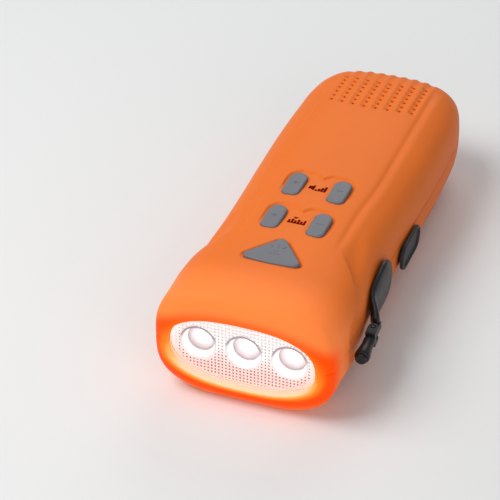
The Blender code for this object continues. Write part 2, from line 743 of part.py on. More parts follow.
def make_bottom_shell():
    shell = half_shell("bottom_shell", -1, SPLIT_HEIGHT - GAP)
    posts = [turned("post", disc_profile(BOSS_RADIUS, BOSS_FOOT, SPLIT_HEIGHT - GAP), "Z", (x, y, 0),
                    ROUND_SIDES)
             for x, y in BOSSES]
    posts += [turned("post", disc_profile(PILLAR_RADIUS, WALL / 2, SPEAKER_RIM_HEIGHT - GAP), "Z",
                     (x, y, 0), SMALL_SIDES) for x, y in speaker_pillars()]
    low = (CELL_RADIUS + GAP) * 2 - CRADLE_THICKNESS
    for sign in (-1, 1):
        posts.append(prism("cradle", box_outline(CRADLE_THICKNESS, low), WALL / 2, CELL_HEIGHT - GAP * 2, "Z",
                           (sign * CRADLE_SPACING / 2, from_front(CELL_AT), 0)))
    for share in CASE_CRADLE_SHARES:
        posts.append(prism("cradle", box_outline(CRADLE_THICKNESS, CASE_RADIUS), WALL / 2,
                           ROTOR_AXIS[2] - CASE_RADIUS / 2, "Z",
                           (INNER_PLATE_X - CASE_LENGTH * share, ROTOR_AXIS[1], 0)))
    for place in PORT_BOARD_POSTS:
        posts.append(prism("rest", box_outline(CRADLE_THICKNESS * 2, CRADLE_THICKNESS), PORT_REST_FOOT,
                           port_board_height() - GAP, "Z",
                           (PORT_BOARD_INNER_X + CRADLE_THICKNESS, from_front(place), 0)))
    combine_closed(shell, merge("floor_posts", posts), "UNION")
    cell_place = (0, from_front(CELL_AT), CELL_HEIGHT)
    reach = CRADLE_SPACING / 2 + CRADLE_THICKNESS
    cell_cut = turned("cell_cut", disc_profile(CELL_RADIUS + GAP, -reach, reach), "X", cell_place,
                      WIDE_SIDES)
    case_cut = turned("case_cut", disc_profile(CASE_RADIUS + GAP, INNER_PLATE_X - CASE_LENGTH,
                                               INNER_PLATE_X),
                      "X", ROTOR_AXIS, WIDE_SIDES)
    combine_closed(shell, merge("cradle_cuts", [cell_cut, case_cut]), "DIFFERENCE")
    holes = [turned("hole", disc_profile(SCREW_RADIUS + GAP, -OVERRUN, HEIGHT / 2 + OVERRUN), "Z", (x, y, 0),
                    SMALL_SIDES)
             for x, y in BOSSES]
    combine_closed(shell, merge("screw_holes", holes), "DIFFERENCE")
    sinks = [turned("sink", disc_profile(SCREW_HEAD_RADIUS + GAP, -OVERRUN,
                                         SCREW_SINK + SCREW_HEAD_HEIGHT + GAP),
                    "Z", (x, y, 0), ROUND_SIDES) for x, y in BOSSES]
    combine_closed(shell, merge("screw_sinks", sinks), "DIFFERENCE")
    combine_closed(shell, crank_hole("bottom_crank_hole"), "DIFFERENCE")
    slot = prism("port_slot", [(v, u) for u, v in rounded_slot(PORT_SLOT_WIDTH, PORT_SLOT_LENGTH)][::-1],
                 SOCKET_X, HEAD_HALF_WIDTH + OVERRUN, "X", (0, from_front(PORT_AT), PORT_HEIGHT))
    combine_closed(shell, slot, "DIFFERENCE")
    paint(shell, "orange_plastic_bottom", ORANGE, 0.42)


def speaker_pillars():
    reach = SPEAKER_RADIUS - PILLAR_RADIUS / 2
    return [(reach * math.cos(a), from_front(SPEAKER_AT) + reach * math.sin(a))
            for a in (math.radians(30), math.radians(150), math.radians(270))]


def port_board_height():
    return PORT_HEIGHT - USB_HEIGHT / 2 - USB_WALL - GAP - BOARD_THICKNESS


def make_lamp():
    outline = window_outline(-GAP)
    front = LENS_RECESS
    layers = [(window_outline(-GAP - LENS_ROUND), from_front(front)),
              (outline, from_front(front + LENS_ROUND)),
              (outline, from_front(front + LENS_THICKNESS))]
    paint(loft("lens_cover", layers, "Y"), "clear_plastic", CLEAR, 0.1)
    plate_start = front + LENS_THICKNESS + GAP
    plate_end = plate_start + REFLECTOR_PLATE
    plate = prism("reflector", outline, from_front(plate_start), from_front(plate_end), "Y")
    cup_end = plate_start + CUP_DEPTH
    middle = (plate_start + plate_end) / 2
    outer, inner = [], []
    for x in cup_places():
        centre = (x, from_front(0), CUP_HEIGHT)
        outer.append(turned("cup", [(0, middle), (CUP_RADIUS + CUP_WALL, middle),
                                    (CUP_THROAT_RADIUS + CUP_WALL, cup_end), (0, cup_end)],
                            "Y", centre, ROUND_SIDES))
        curve = [(CUP_THROAT_RADIUS + (CUP_RADIUS - CUP_THROAT_RADIUS) * share ** 0.5,
                  cup_end - CUP_DEPTH * share) for share in (0, 0.25, 0.6, 1)]
        profile = [(0, cup_end + OVERRUN), (CUP_THROAT_RADIUS, cup_end + OVERRUN)] + curve
        profile += [(CUP_RADIUS, plate_start - OVERRUN), (0, plate_start - OVERRUN)]
        inner.append(turned("cup_inside", profile, "Y", centre, ROUND_SIDES))
    combine_closed(plate, merge("cups_outside", outer), "UNION")
    combine_closed(plate, merge("cups_inside", inner), "DIFFERENCE")
    paint(plate, "silvered_plastic", SILVER, 0.15, 0.9)
    flange_start = cup_end + GAP
    base = flange_start + LED_FLANGE_THICKNESS
    for side, x in zip(("left", "middle", "right"), cup_places()):
        tip = base - LED_LENGTH
        profile = [(0, tip), (LED_RADIUS / 2, tip + LED_RADIUS / 8),
                   (LED_RADIUS * 0.85, tip + LED_RADIUS / 2),
                   (LED_RADIUS, tip + LED_RADIUS), (LED_RADIUS, flange_start),
                   (LED_FLANGE_RADIUS, flange_start),
                   (LED_FLANGE_RADIUS, base), (0, base)]
        paint(turned("led_" + side, profile, "Y", (x, from_front(0), CUP_HEIGHT), ROUND_SIDES),
              "led_" + side, CLEAR, 0.2)
    board = prism("led_board", [(u, v) for u, v in window_outline(-LED_BOARD_MARGIN)],
                  from_front(base + GAP),
                  from_front(base + GAP + BOARD_THICKNESS), "Y")
    paint(board, "led_board_laminate", BOARD_GREEN, 0.5)


def window_outline(margin):
    """The lamp window outline in the X and Z directions, grown by a margin."""
    points = []
    for i in range(2 * WINDOW_STEPS):
        angle = math.pi * i / WINDOW_STEPS
        c, s = math.cos(angle), math.sin(angle)
        points.append(((WINDOW_HALF_WIDTH + margin) * math.copysign(abs(c) ** (2 / WINDOW_POWER), c),
                       WINDOW_HEIGHT
                       + (WINDOW_HALF_HEIGHT + margin) * math.copysign(abs(s) ** (2 / WINDOW_POWER), s)))
    return points


def cup_places():
    return (-CUP_SPACING, 0, CUP_SPACING)


def key_levels(name):
    """Heights of one key: foot, flange, shoulder and crown."""
    outline, x, distance = KEYS[name]
    widest = max(abs(u) for u, v in outline(KEY_FLANGE)) + abs(x)
    front = min(v for u, v in outline(KEY_FLANGE)) + distance
    rear = max(v for u, v in outline(KEY_FLANGE)) + distance
    flange_top = min(roof(front, widest, WALL), roof(rear, widest, WALL)) - GAP
    crown = max(roof(front, abs(x)), roof(rear, abs(x))) + KEY_PROUD
    foot = BOARD_TOP + GAP + SWITCH_HEIGHT + STEM_HEIGHT + KEY_TRAVEL + GAP
    return foot, flange_top - KEY_FLANGE_THICKNESS, flange_top, crown


def make_keys():
    for name, (outline, x, distance) in KEYS.items():
        foot, low, high, crown = key_levels(name)
        wide = outline(KEY_FLANGE)
        small = [(u * FOOT_SHARE, v * FOOT_SHARE) for u, v in outline()]
        layers = [(small, foot), (small, low), (wide, low), (wide, high), (outline(), high),
                  (outline(), crown - KEY_ROUND), (outline(-KEY_ROUND / 3), crown - KEY_ROUND / 3),
                  (outline(-KEY_ROUND), crown)]
        key = loft(name, layers, "Z", (0, 0, 0))
        key.location = (x, from_front(distance), 0)
        paint(key, name + "_plastic", SOFT_GREY, 0.5)
        switch_name = name.replace("_key", "_switch")
        body = rounded_rectangle(SWITCH_SIZE, SWITCH_SIZE, SWITCH_SIZE / 8, 1)
        stem = circle(STEM_RADIUS, len(body))
        start = BOARD_TOP + GAP
        layers = [(body, start), (body, start + SWITCH_HEIGHT), (stem, start + SWITCH_HEIGHT),
                  (stem, start + SWITCH_HEIGHT + STEM_HEIGHT)]
        switch = loft(switch_name, layers, "Z", (x, from_front(distance), 0))
        paint(switch, switch_name + "_body", BLACK, 0.45)


def make_main_board():
    middle = BOARD_FRONT + BOARD_LENGTH / 2
    board = prism("main_board", rounded_rectangle(BOARD_HALF_WIDTH * 2, BOARD_LENGTH, BOARD_THICKNESS),
                  BOARD_TOP - BOARD_THICKNESS, BOARD_TOP, "Z", (0, from_front(middle), 0))
    holes = post_tools("board_holes", BOARD_SCREW_PLACES, BOARD_SCREW_RADIUS + GAP, BOARD_TOP - OVERRUN,
                       BOARD_TOP + OVERRUN)
    combine(board, holes, "DIFFERENCE")
    paint(board, "main_board_laminate", BOARD_GREEN, 0.5)
    under = BOARD_TOP - BOARD_THICKNESS - GAP
    chip = prism("radio_chip", box_outline(CHIP_SIZE, CHIP_SIZE), under - CHIP_THICKNESS, under, "Z",
                 (0, from_front(CHIP_AT), 0))
    paint(chip, "chip_resin", BLACK, 0.4)
    for i, (x, y) in enumerate(BOARD_SCREW_PLACES):
        profile = [(0, under - SCREW_HEAD_HEIGHT / 2), (BOARD_SCREW_HEAD, under - SCREW_HEAD_HEIGHT / 2),
                   (BOARD_SCREW_HEAD, under), (BOARD_SCREW_RADIUS, under),
                   (BOARD_SCREW_RADIUS, BOARD_TOP + BOARD_SCREW_GRIP), (0, BOARD_TOP + BOARD_SCREW_GRIP)]
        name = "board_screw_%d" % (i + 1)
        paint(turned(name, profile, "Z", (x, y, 0), SMALL_SIDES), name + "_steel", STEEL, 0.35, 1)


def make_speaker():
    centre = (0, from_front(SPEAKER_AT), 0)
    rim = SPEAKER_RIM_HEIGHT
    top = rim + SPEAKER_RIM_THICKNESS
    back = top - SPEAKER_DEPTH
    wall = SPEAKER_RIM_THICKNESS
    seat = SPEAKER_RADIUS - PILLAR_RADIUS * 2
    profile = [(MAGNET_RADIUS / 2, back), (SPEAKER_BACK_RADIUS, back), (seat, rim), (SPEAKER_RADIUS, rim),
               (SPEAKER_RADIUS, top), (seat + wall, top), (seat, rim + wall / 2),
               (SPEAKER_BACK_RADIUS, back + wall),
               (MAGNET_RADIUS / 2, back + wall)]
    paint(turned("speaker_frame", profile, "Z", centre, WIDE_SIDES), "speaker_steel", STEEL, 0.4, 1)
    edge = SPEAKER_RADIUS - wall
    cone = [(0, back + wall * 2 + CONE_THICKNESS), (MAGNET_RADIUS / 2, back + wall * 2),
            (edge - wall, top + GAP), (edge, top + GAP), (edge, top + GAP + CONE_THICKNESS),
            (edge - wall * 1.5, top + GAP + CONE_THICKNESS),
            (MAGNET_RADIUS / 2, back + wall * 2 + CONE_THICKNESS * 2),
            (0, back + wall * 2 + CONE_THICKNESS * 3)]
    paint(turned("speaker_cone", cone, "Z", centre, WIDE_SIDES), "speaker_paper", BLACK, 0.8)
    low = back - GAP - MAGNET_THICKNESS
    paint(turned("speaker_magnet", disc_profile(MAGNET_RADIUS, low, back - GAP), "Z", centre, WIDE_SIDES),
          "speaker_ferrite", DARK_GREY, 0.6)


def seat(obj, origin, parent=None):
    """Move the object's origin onto its joint axis without moving its shape."""
    obj.data.transform(Matrix.Translation(-Vector(origin)))
    obj.location = origin
    if parent:
        obj.parent = parent
    return obj


def plate(name, bosses, start, holes, color_name):
    """A flat gearbox plate with a hole at each (y, z, radius) place."""
    body = prism(name, hull_outline(bosses), start, start + PLATE_THICKNESS, "X")
    tools = [turned("hole", disc_profile(r, start - OVERRUN, start + PLATE_THICKNESS + OVERRUN), "X",
                    (0, y, z), ROUND_SIDES)
             for y, z, r in holes]
    combine(body, merge(name + "_holes", tools), "DIFFERENCE")
    paint(body, color_name, NATURAL, 0.45)
    return body


def make_gearbox():
    boss = AXLE_RADIUS + PLATE_MARGIN
    post_bosses = [(y, z, PLATE_POST_RADIUS + PLATE_MARGIN / 2) for y, z in PLATE_POSTS]
    shared = post_bosses + [(HUB[1], HUB[2], SHAFT_RADIUS + PLATE_MARGIN),
                            (WHEEL_AXIS[1], WHEEL_AXIS[2], boss)]
    screw_holes = [(y, z, GEARBOX_SCREW_RADIUS) for y, z in PLATE_POSTS]
    shared_holes = screw_holes + [(HUB[1], HUB[2], SHAFT_RADIUS + GAP),
                                  (WHEEL_AXIS[1], WHEEL_AXIS[2], AXLE_RADIUS + GAP)]
    rotor_boss = (ROTOR_AXIS[1], ROTOR_AXIS[2], CASE_RADIUS / 2)
    rotor_hole = (ROTOR_AXIS[1], ROTOR_AXIS[2], AXLE_RADIUS + GAP)
    frame = plate("gearbox_frame", shared + [rotor_boss], INNER_PLATE_X, shared_holes + [rotor_hole],
                  "frame_plastic")
    plate("gearbox_cover", shared, OUTER_PLATE_X, shared_holes, "cover_plastic")
    start = INNER_PLATE_X + PLATE_THICKNESS / 2
    tubes = [turned("post", ring_profile(GEARBOX_SCREW_RADIUS, PLATE_POST_RADIUS + GAP, start,
                                         OUTER_PLATE_X - GAP),
                    "X", (0, y, z), SMALL_SIDES) for y, z in PLATE_POSTS]
    combine(frame, merge("frame_spacers", tubes), "UNION")
    head = OUTER_PLATE_X + PLATE_THICKNESS + GAP
    core = GEARBOX_SCREW_RADIUS - GAP
    for name, (y, z) in zip(("gearbox_screw_front", "gearbox_screw_rear"), PLATE_POSTS):
        profile = [(0, INNER_PLATE_X), (core, INNER_PLATE_X), (core, head), (core * 2, head),
                   (core * 2, head + core), (0, head + core)]
        paint(turned(name, profile, "X", (0, y, z), SMALL_SIDES), name + "_steel", STEEL, 0.35, 1)


def make_gears():
    to_wheel = WHEEL_AXIS_DROP
    to_rotor = ROTOR_AXIS_DROP
    half_tooth = math.pi / PINION_TEETH
    drive = gear("drive_gear", WHEEL_TEETH, to_wheel, DRIVE_GEAR_X, HUB, SHAFT_RADIUS + GAP)
    paint(drive, "drive_gear_plastic", NATURAL, 0.45)
    wheel = gear_blank("middle_gear", WHEEL_TEETH, to_rotor, WHEEL_X, WHEEL_AXIS)
    overlap = GEAR_WIDTH / 4
    start = WHEEL_X + GEAR_WIDTH - overlap
    pinion = prism("middle_pinion", gear_outline(PINION_TEETH, to_wheel + math.pi + half_tooth), start,
                   DRIVE_GEAR_X + GEAR_WIDTH, "X", WHEEL_AXIS)
    combine(wheel, pinion, "UNION")
    bore = turned("middle_bore", disc_profile(AXLE_RADIUS + GAP, WHEEL_X - OVERRUN, OUTER_PLATE_X + OVERRUN), "X",
                  WHEEL_AXIS, ROUND_SIDES)
    combine(wheel, bore, "DIFFERENCE")
    paint(wheel, "middle_gear_plastic", NATURAL, 0.45)
    rotor = gear("dynamo_pinion", PINION_TEETH, to_rotor + math.pi + half_tooth, WHEEL_X, ROTOR_AXIS,
                 AXLE_RADIUS + GAP)
    paint(rotor, "pinion_brass", COPPER, 0.35, 1)
    for obj, axis in ((drive, HUB), (wheel, WHEEL_AXIS), (rotor, ROTOR_AXIS)):
        seat(obj, axis)
    axle = turned("middle_axle", disc_profile(AXLE_RADIUS, INNER_PLATE_X, OUTER_PLATE_X + PLATE_THICKNESS), "X",
                  WHEEL_AXIS, SMALL_SIDES)
    paint(axle, "axle_steel", STEEL, 0.3, 1)


def make_dynamo():
    end = INNER_PLATE_X - GAP
    start = end - CASE_LENGTH
    seam = end - CASE_WALL - GAP
    bore = AXLE_RADIUS + GAP
    cup = [(bore, start), (CASE_RADIUS, start), (CASE_RADIUS, seam), (CASE_RADIUS - CASE_WALL, seam),
           (CASE_RADIUS - CASE_WALL, start + CASE_WALL), (bore, start + CASE_WALL)]
    paint(turned("dynamo_case", cup, "X", ROTOR_AXIS, WIDE_SIDES), "case_steel", STEEL, 0.35, 1)
    lid = ring_profile(bore, CASE_RADIUS, end - CASE_WALL, end)
    paint(turned("dynamo_lid", lid, "X", ROTOR_AXIS, WIDE_SIDES), "lid_steel", STEEL, 0.35, 1)
    middle = (start + end) / 2
    half = MAGNET_DRUM_LENGTH / 2
    outside = CASE_RADIUS - CASE_WALL - GAP
    coil = ring_profile(outside - COIL_THICKNESS, outside, middle - half, middle + half)
    paint(turned("dynamo_coil", coil, "X", ROTOR_AXIS, WIDE_SIDES), "coil_copper", COPPER, 0.4, 1)
    drum = ring_profile(bore, MAGNET_DRUM_RADIUS, middle - half, middle + half)
    drum_obj = turned("rotor_magnet", drum, "X", ROTOR_AXIS, WIDE_SIDES)
    paint(drum_obj, "rotor_ferrite", DARK_GREY, 0.6)
    shaft = turned("rotor_shaft", disc_profile(AXLE_RADIUS, start, WHEEL_X + GEAR_WIDTH), "X", ROTOR_AXIS,
                   SMALL_SIDES)
    paint(shaft, "rotor_shaft_steel", STEEL, 0.3, 1)
    seat(drum_obj, ROTOR_AXIS)
    seat(shaft, ROTOR_AXIS)


def arm_bend(reach):
    """How far the arm has stepped outward at a distance from the hub."""
    share = min(max((reach - BEND_START) / (BEND_END - BEND_START), 0), 1)
    return ARM_BEND * share * share * (3 - 2 * share)


def make_crank(axis):
    """Arm, shaft and fold pin about the hub, drawn with the arm along -Y and turned by its parent."""
    layers = []
    middle = ARM_OFFSET + ARM_THICKNESS / 2
    for angle in np.radians((12, 30, 50, 70)):
        layers.append((-HUB_RADIUS * math.cos(angle), HUB_RADIUS * math.sin(angle)))
    layers += [(BEND_END * place, HUB_RADIUS * height) for place, height in ARM_SHARES]
    sections = []
    for reach, half in layers:
        outline = rounded_rectangle(ARM_THICKNESS, half * 2, ARM_EDGE_ROUND, 2)
        sections.append((moved(outline, middle + arm_bend(reach), 0), -reach))
    arm = loft("crank_arm", sections, "Y")
    tongue_x = middle + ARM_BEND
    tongue = [(ARM_THICKNESS / 2 * math.cos(a), ARM_THICKNESS / 2 * math.sin(a) - KNUCKLE_AT)
              for a in np.linspace(math.pi, 2 * math.pi, 9)]
    root = -BEND_END + ARM_THICKNESS / 2
    tongue += [(ARM_THICKNESS / 2, root), (-ARM_THICKNESS / 2, root)]
    tongue_tool = prism("tongue", moved(tongue, tongue_x, 0), -TONGUE_HEIGHT / 2, TONGUE_HEIGHT / 2)
    pin_place = (tongue_x, -KNUCKLE_AT, 0)
    pin_hole = turned("pin_hole", disc_profile(FOLD_PIN_RADIUS + GAP, -OVERRUN, OVERRUN), "Z", pin_place,
                      SMALL_SIDES)
    shaft_end = ARM_OFFSET + ARM_THICKNESS - ARM_SKIN
    shaft_hole = turned("shaft_hole", disc_profile(SHAFT_RADIUS + GAP, 0, shaft_end + GAP), "X", (0, 0, 0),
                        WIDE_SIDES)
    for tool, operation in ((tongue_tool, "UNION"), (pin_hole, "DIFFERENCE"), (shaft_hole, "DIFFERENCE")):
        combine(arm, tool, operation)
        tool.parent = axis
    arm.parent = axis
    paint(arm, "crank_plastic", DARK_GREY, 0.4)
    shaft = turned("crank_shaft", disc_profile(SHAFT_RADIUS, SHAFT_START, shaft_end), "X", (0, 0, 0),
                   WIDE_SIDES)
    shaft.parent = axis
    paint(shaft, "crank_shaft_steel", STEEL, 0.3, 1)
    ear_top = TONGUE_HEIGHT / 2 + GAP + EAR_HEIGHT
    pin = turned("fold_pin", disc_profile(FOLD_PIN_RADIUS, -ear_top, ear_top), "Z", pin_place, SMALL_SIDES)
    pin.parent = axis
    paint(pin, "fold_pin_steel", STEEL, 0.3, 1)


def make_knob(axis):
    """Folding post, its sleeve and the end cap, about the fold pin and drawn along -Y."""
    ear_top = TONGUE_HEIGHT / 2 + GAP + EAR_HEIGHT
    ears = [(KNUCKLE_RADIUS * math.cos(a), KNUCKLE_RADIUS * math.sin(a)) for a in np.linspace(0, math.pi, 9)]
    ears += [(-KNUCKLE_RADIUS, -POST_START), (KNUCKLE_RADIUS, -POST_START)]
    post = prism("handle_post", ears, -ear_top, ear_top)
    knob_start = POST_START + GAP
    knob_end = knob_start + KNOB_LENGTH
    stem = turned("post_stem", disc_profile(POST_RADIUS, -knob_end, GAP - POST_START), "Y", (0, 0, 0),
                  SMALL_SIDES)
    slot_reach = ARM_THICKNESS / 2 + GAP
    slot_half = TONGUE_HEIGHT / 2 + GAP
    slot = prism("fork_slot", [(-OVERRUN, -slot_reach), (OVERRUN, -slot_reach), (OVERRUN, OVERRUN),
                               (-OVERRUN, OVERRUN)], -slot_half, slot_half)
    hole = turned("fork_hole", disc_profile(FOLD_PIN_RADIUS + GAP, -ear_top - OVERRUN, ear_top + OVERRUN), "Z",
                  (0, 0, 0), SMALL_SIDES)
    for tool, operation in ((stem, "UNION"), (slot, "DIFFERENCE"), (hole, "DIFFERENCE")):
        combine(post, tool, operation)
        tool.parent = axis
    post.parent = axis
    paint(post, "handle_post_plastic", DARK_GREY, 0.4)
    bore = POST_RADIUS + GAP
    outer = [(KNOB_NECK_RADIUS, 0), (KNOB_NECK_RADIUS * 0.95, 0.25), (KNOB_RADIUS * 0.9, 0.6),
             (KNOB_RADIUS, 0.82),
             (KNOB_RADIUS * 0.96, 0.95), (KNOB_RADIUS * 0.85, 1)]
    profile = [(r, -knob_start - KNOB_LENGTH * share) for r, share in outer]
    profile += [(bore, -knob_end), (bore, -knob_start)]
    knob = turned("crank_knob", profile, "Y", (0, 0, 0), WIDE_SIDES)
    knob.parent = axis
    paint(knob, "knob_plastic", DARK_GREY, 0.35)
    cap = turned("knob_cap", disc_profile(KNOB_NECK_RADIUS, knob_end + GAP,
                                          knob_end + GAP + KNOB_CAP_THICKNESS,
                                          KNOB_CAP_THICKNESS / 2), "Y", (0, 0, 0), ROUND_SIDES)
    cap.data.transform(Matrix.Rotation(math.pi, 4, "Z"))
    cap.parent = axis
    paint(cap, "knob_cap_plastic", DARK_GREY, 0.4)


def make_port():
    centre = (0, from_front(PORT_AT), PORT_HEIGHT)

    def slot(width, length):
        return [(v, u) for u, v in rounded_slot(width, length)]
    cover_end = COVER_X + COVER_THICKNESS
    plug = slot(PORT_SLOT_WIDTH - GAP * 3, PORT_SLOT_LENGTH - GAP * 4)
    full = slot(COVER_WIDTH, COVER_LENGTH)
    rim = slot(COVER_WIDTH - COVER_RIM * 2, COVER_LENGTH - COVER_RIM * 2)
    floor = slot(COVER_WIDTH - COVER_RIM * 2 - GAP, COVER_LENGTH - COVER_RIM * 2 - GAP)
    layers = [(plug, COVER_X - PLUG_DEPTH), (plug, COVER_X), (full, COVER_X), (full, cover_end - GAP),
              (slot(COVER_WIDTH - GAP * 2, COVER_LENGTH - GAP * 2), cover_end), (rim, cover_end),
              (floor, cover_end - COVER_DISH)]
    cover = loft("port_cover", layers, "X", centre)
    seat(cover, COVER_HINGE)
    paint(cover, "cover_rubber", DARK_GREY, 0.55)
    board_low = port_board_height()
    board_width = PORT_SLOT_LENGTH + USB_WALL * 4
    depth = SOCKET_X - PORT_BOARD_INNER_X
    board = prism("port_board", box_outline(depth, board_width), board_low, board_low + BOARD_THICKNESS, "Z",
                  (PORT_BOARD_INNER_X + depth / 2, centre[1], 0))
    paint(board, "port_board_laminate", BOARD_GREEN, 0.5)
    usb_y = PORT_SLOT_LENGTH / 2 - USB_WALL * 2 - USB_WIDTH / 2
    usb_centre = (0, centre[1] + usb_y, PORT_HEIGHT)
    outside = box_outline(USB_WIDTH + USB_WALL * 2, USB_HEIGHT + USB_WALL * 2)
    usb = prism("charge_socket", outside, SOCKET_X - SOCKET_DEPTH, SOCKET_X, "X", usb_centre)
    inside = prism("charge_mouth", box_outline(USB_WIDTH, USB_HEIGHT), SOCKET_X - SOCKET_DEPTH + USB_WALL,
                   SOCKET_X + OVERRUN, "X", usb_centre)
    combine(usb, inside, "DIFFERENCE")
    paint(usb, "socket_steel", STEEL, 0.3, 1)
    jack_centre = (0, centre[1] - PORT_SLOT_LENGTH / 2 + JACK_RADIUS + GAP, PORT_HEIGHT)
    jack = turned("earphone_socket", [(0, SOCKET_X - SOCKET_DEPTH), (JACK_RADIUS, SOCKET_X - SOCKET_DEPTH),
                                      (JACK_RADIUS, SOCKET_X), (JACK_BORE_RADIUS, SOCKET_X),
                                      (JACK_BORE_RADIUS, SOCKET_X - SOCKET_DEPTH + USB_WALL),
                                      (0, SOCKET_X - SOCKET_DEPTH + USB_WALL)],
                  "X", jack_centre, ROUND_SIDES)
    paint(jack, "jack_plastic", BLACK, 0.4)


def make_battery():
    centre = (0, from_front(CELL_AT), CELL_HEIGHT)
    half = CELL_LENGTH / 2
    edge = CONTACT_THICKNESS
    profile = [(0, -half), (CELL_RADIUS - edge, -half), (CELL_RADIUS, -half + edge),
               (CELL_RADIUS, half - edge),
               (CELL_RADIUS - edge, half), (CELL_BUTTON_RADIUS, half),
               (CELL_BUTTON_RADIUS, half + CELL_BUTTON_LENGTH),
               (0, half + CELL_BUTTON_LENGTH)]
    paint(turned("battery_cell", profile, "X", centre, WIDE_SIDES), "cell_sleeve", BOARD_GREEN, 0.35)
    size = CELL_RADIUS
    plus = half + CELL_BUTTON_LENGTH + GAP
    for name, start in (("battery_contact_plus", plus),
                        ("battery_contact_minus", -half - GAP - CONTACT_THICKNESS)):
        tab = prism(name, rounded_rectangle(size, size, CONTACT_THICKNESS), start, start + CONTACT_THICKNESS, "X",
                    centre)
        paint(tab, name + "_steel", STEEL, 0.3, 1)


def make_housing_screws():
    head = SCREW_SINK
    shoulder = SCREW_SINK + SCREW_HEAD_HEIGHT
    tip = SPLIT_HEIGHT + SCREW_GRIP
    for i, (x, y) in enumerate(BOSSES):
        profile = [(0, head), (SCREW_HEAD_RADIUS, head), (SCREW_HEAD_RADIUS, shoulder),
                   (SCREW_RADIUS, shoulder),
                   (SCREW_RADIUS, tip - SCREW_RADIUS), (0, tip)]
        name = "housing_screw_%d" % (i + 1)
        paint(turned(name, profile, "Z", (x, y, 0), SMALL_SIDES), name + "_steel", STEEL, 0.35, 1)


LEADS = {
    "battery_lead_plus": ((20.6, 101, 15.6), (20.6, 99.8, 19), (15, 95, 25), (9, 91, 28), (9, 87.4, 28.1)),
    "battery_lead_minus": ((-19.9, 101, 15.6), (-20.4, 99.8, 19), (-15, 95, 25), (-9, 91, 28),
                           (-9, 87.4, 28.1)),
    "speaker_lead": ((-5, 122.9, 27.2), (-7, 117, 27.4), (-6, 104, 28), (-3, 93, 28.1), (-3, 87.4, 28.1)),
    "dynamo_lead": ((-3.8, 74, 20), (-7, 74, 20.2), (-9.6, 75.5, 23), (-10, 77, 27)),
    "lamp_lead": ((6, 15.8, 25.5), (6, 18.5, 25.8), (6, 22, 27.6), (6, 24.6, 28.1)),
}


def make_leads():
    for name, route in LEADS.items():
        points = [(x * MM, from_front(y * MM), z * MM) for x, y, z in route]
        paint(tube(name, points, LEAD_RADIUS), name + "_sleeve", BLACK, 0.6)


def new_axis(name, place, tilt):
    """An empty on a joint axis that carries the pieces which turn there."""
    axis = bpy.data.objects.new(name, None)
    axis.location = place
    axis.rotation_euler = (tilt, 0, 0)
    bpy.context.collection.objects.link(axis)
    return axis


def main():
    clear_scene()
    make_top_shell()
    make_bottom_shell()
    make_lamp()
    make_keys()
    make_main_board()
    make_speaker()
    make_gearbox()
    make_gears()
    make_dynamo()
    crank_axis = new_axis("crank_axis", HUB, CRANK_SLOPE)
    make_crank(crank_axis)
    fold_axis = new_axis("fold_axis", (ARM_OFFSET + ARM_THICKNESS / 2 + ARM_BEND, -KNUCKLE_AT, 0), 0)
    fold_axis.parent = crank_axis
    make_knob(fold_axis)
    make_port()
    make_battery()
    make_housing_screws()
    make_leads()


main()
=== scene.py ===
"""Looks of the hand crank flashlight radio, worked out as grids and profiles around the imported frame.

Shapes are drawn in millimetres: x across, d from the lamp head to the tail, z up. A mesh is put
in place by taking half the length from d and turning millimetres into metres.
"""
import json
import math

import bmesh
import bpy
import numpy as np
from mathutils import Matrix, Vector


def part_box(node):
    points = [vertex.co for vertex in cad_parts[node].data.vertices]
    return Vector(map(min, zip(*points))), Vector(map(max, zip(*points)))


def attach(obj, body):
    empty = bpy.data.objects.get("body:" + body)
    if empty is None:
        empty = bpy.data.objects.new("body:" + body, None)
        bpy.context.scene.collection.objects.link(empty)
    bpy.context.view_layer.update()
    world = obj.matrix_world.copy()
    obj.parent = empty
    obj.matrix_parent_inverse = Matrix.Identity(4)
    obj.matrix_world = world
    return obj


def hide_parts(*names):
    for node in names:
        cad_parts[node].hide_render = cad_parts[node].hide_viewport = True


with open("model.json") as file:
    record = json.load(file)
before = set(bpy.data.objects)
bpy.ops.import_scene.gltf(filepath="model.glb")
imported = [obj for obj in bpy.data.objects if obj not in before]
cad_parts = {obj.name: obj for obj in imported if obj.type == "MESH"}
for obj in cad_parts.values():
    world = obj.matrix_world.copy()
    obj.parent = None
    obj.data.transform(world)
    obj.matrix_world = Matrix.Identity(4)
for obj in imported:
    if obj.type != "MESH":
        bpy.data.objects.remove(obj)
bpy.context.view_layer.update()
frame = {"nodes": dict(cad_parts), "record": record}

MM = 0.001

# Housing, as the frame has it
LENGTH = 159.0
HEAD_HALF_WIDTH = 29.6
HEIGHT = 38.5
SPLIT = 19.0
WALL = 2.0
FLAT_DEPTH = 0.5
POWER = 3.0
WIDTHS = ((0, 0.935), (0.02, 0.965), (0.08, 0.985), (0.15, 1.0), (0.19, 0.985), (0.24, 0.937), (0.28, 0.922),
          (0.42, 0.922), (0.55, 0.945), (0.68, 0.963), (0.80, 0.955), (0.88, 0.935), (0.93, 0.885),
          (0.97, 0.785), (1.0, 0.55))
TOPS = ((0, 0.955), (0.02, 0.99), (0.06, 1.0), (0.13, 0.98), (0.22, 0.965), (0.50, 0.965), (0.80, 0.96),
        (0.88, 0.955), (0.93, 0.93), (0.97, 0.865), (1.0, 0.74))
BOTTOMS = ((0, 0.07), (0.02, 0.02), (0.05, 0), (0.88, 0), (0.93, 0.03), (0.97, 0.13), (1.0, 0.33))
SECTION_HALF_WIDTH = 27.7
SECTION_RISE = 18.3
RIM_ROUND = 4.0
FRONT_FACE = 0.15
FRONT_WALL = 5.3
LIP_PLACES = (FRONT_WALL, 3.4, 1.6, 0.5)
RIM_STEPS = 14
PLAIN_RIM_ROWS = 6
TAIL_CAP = 0.7
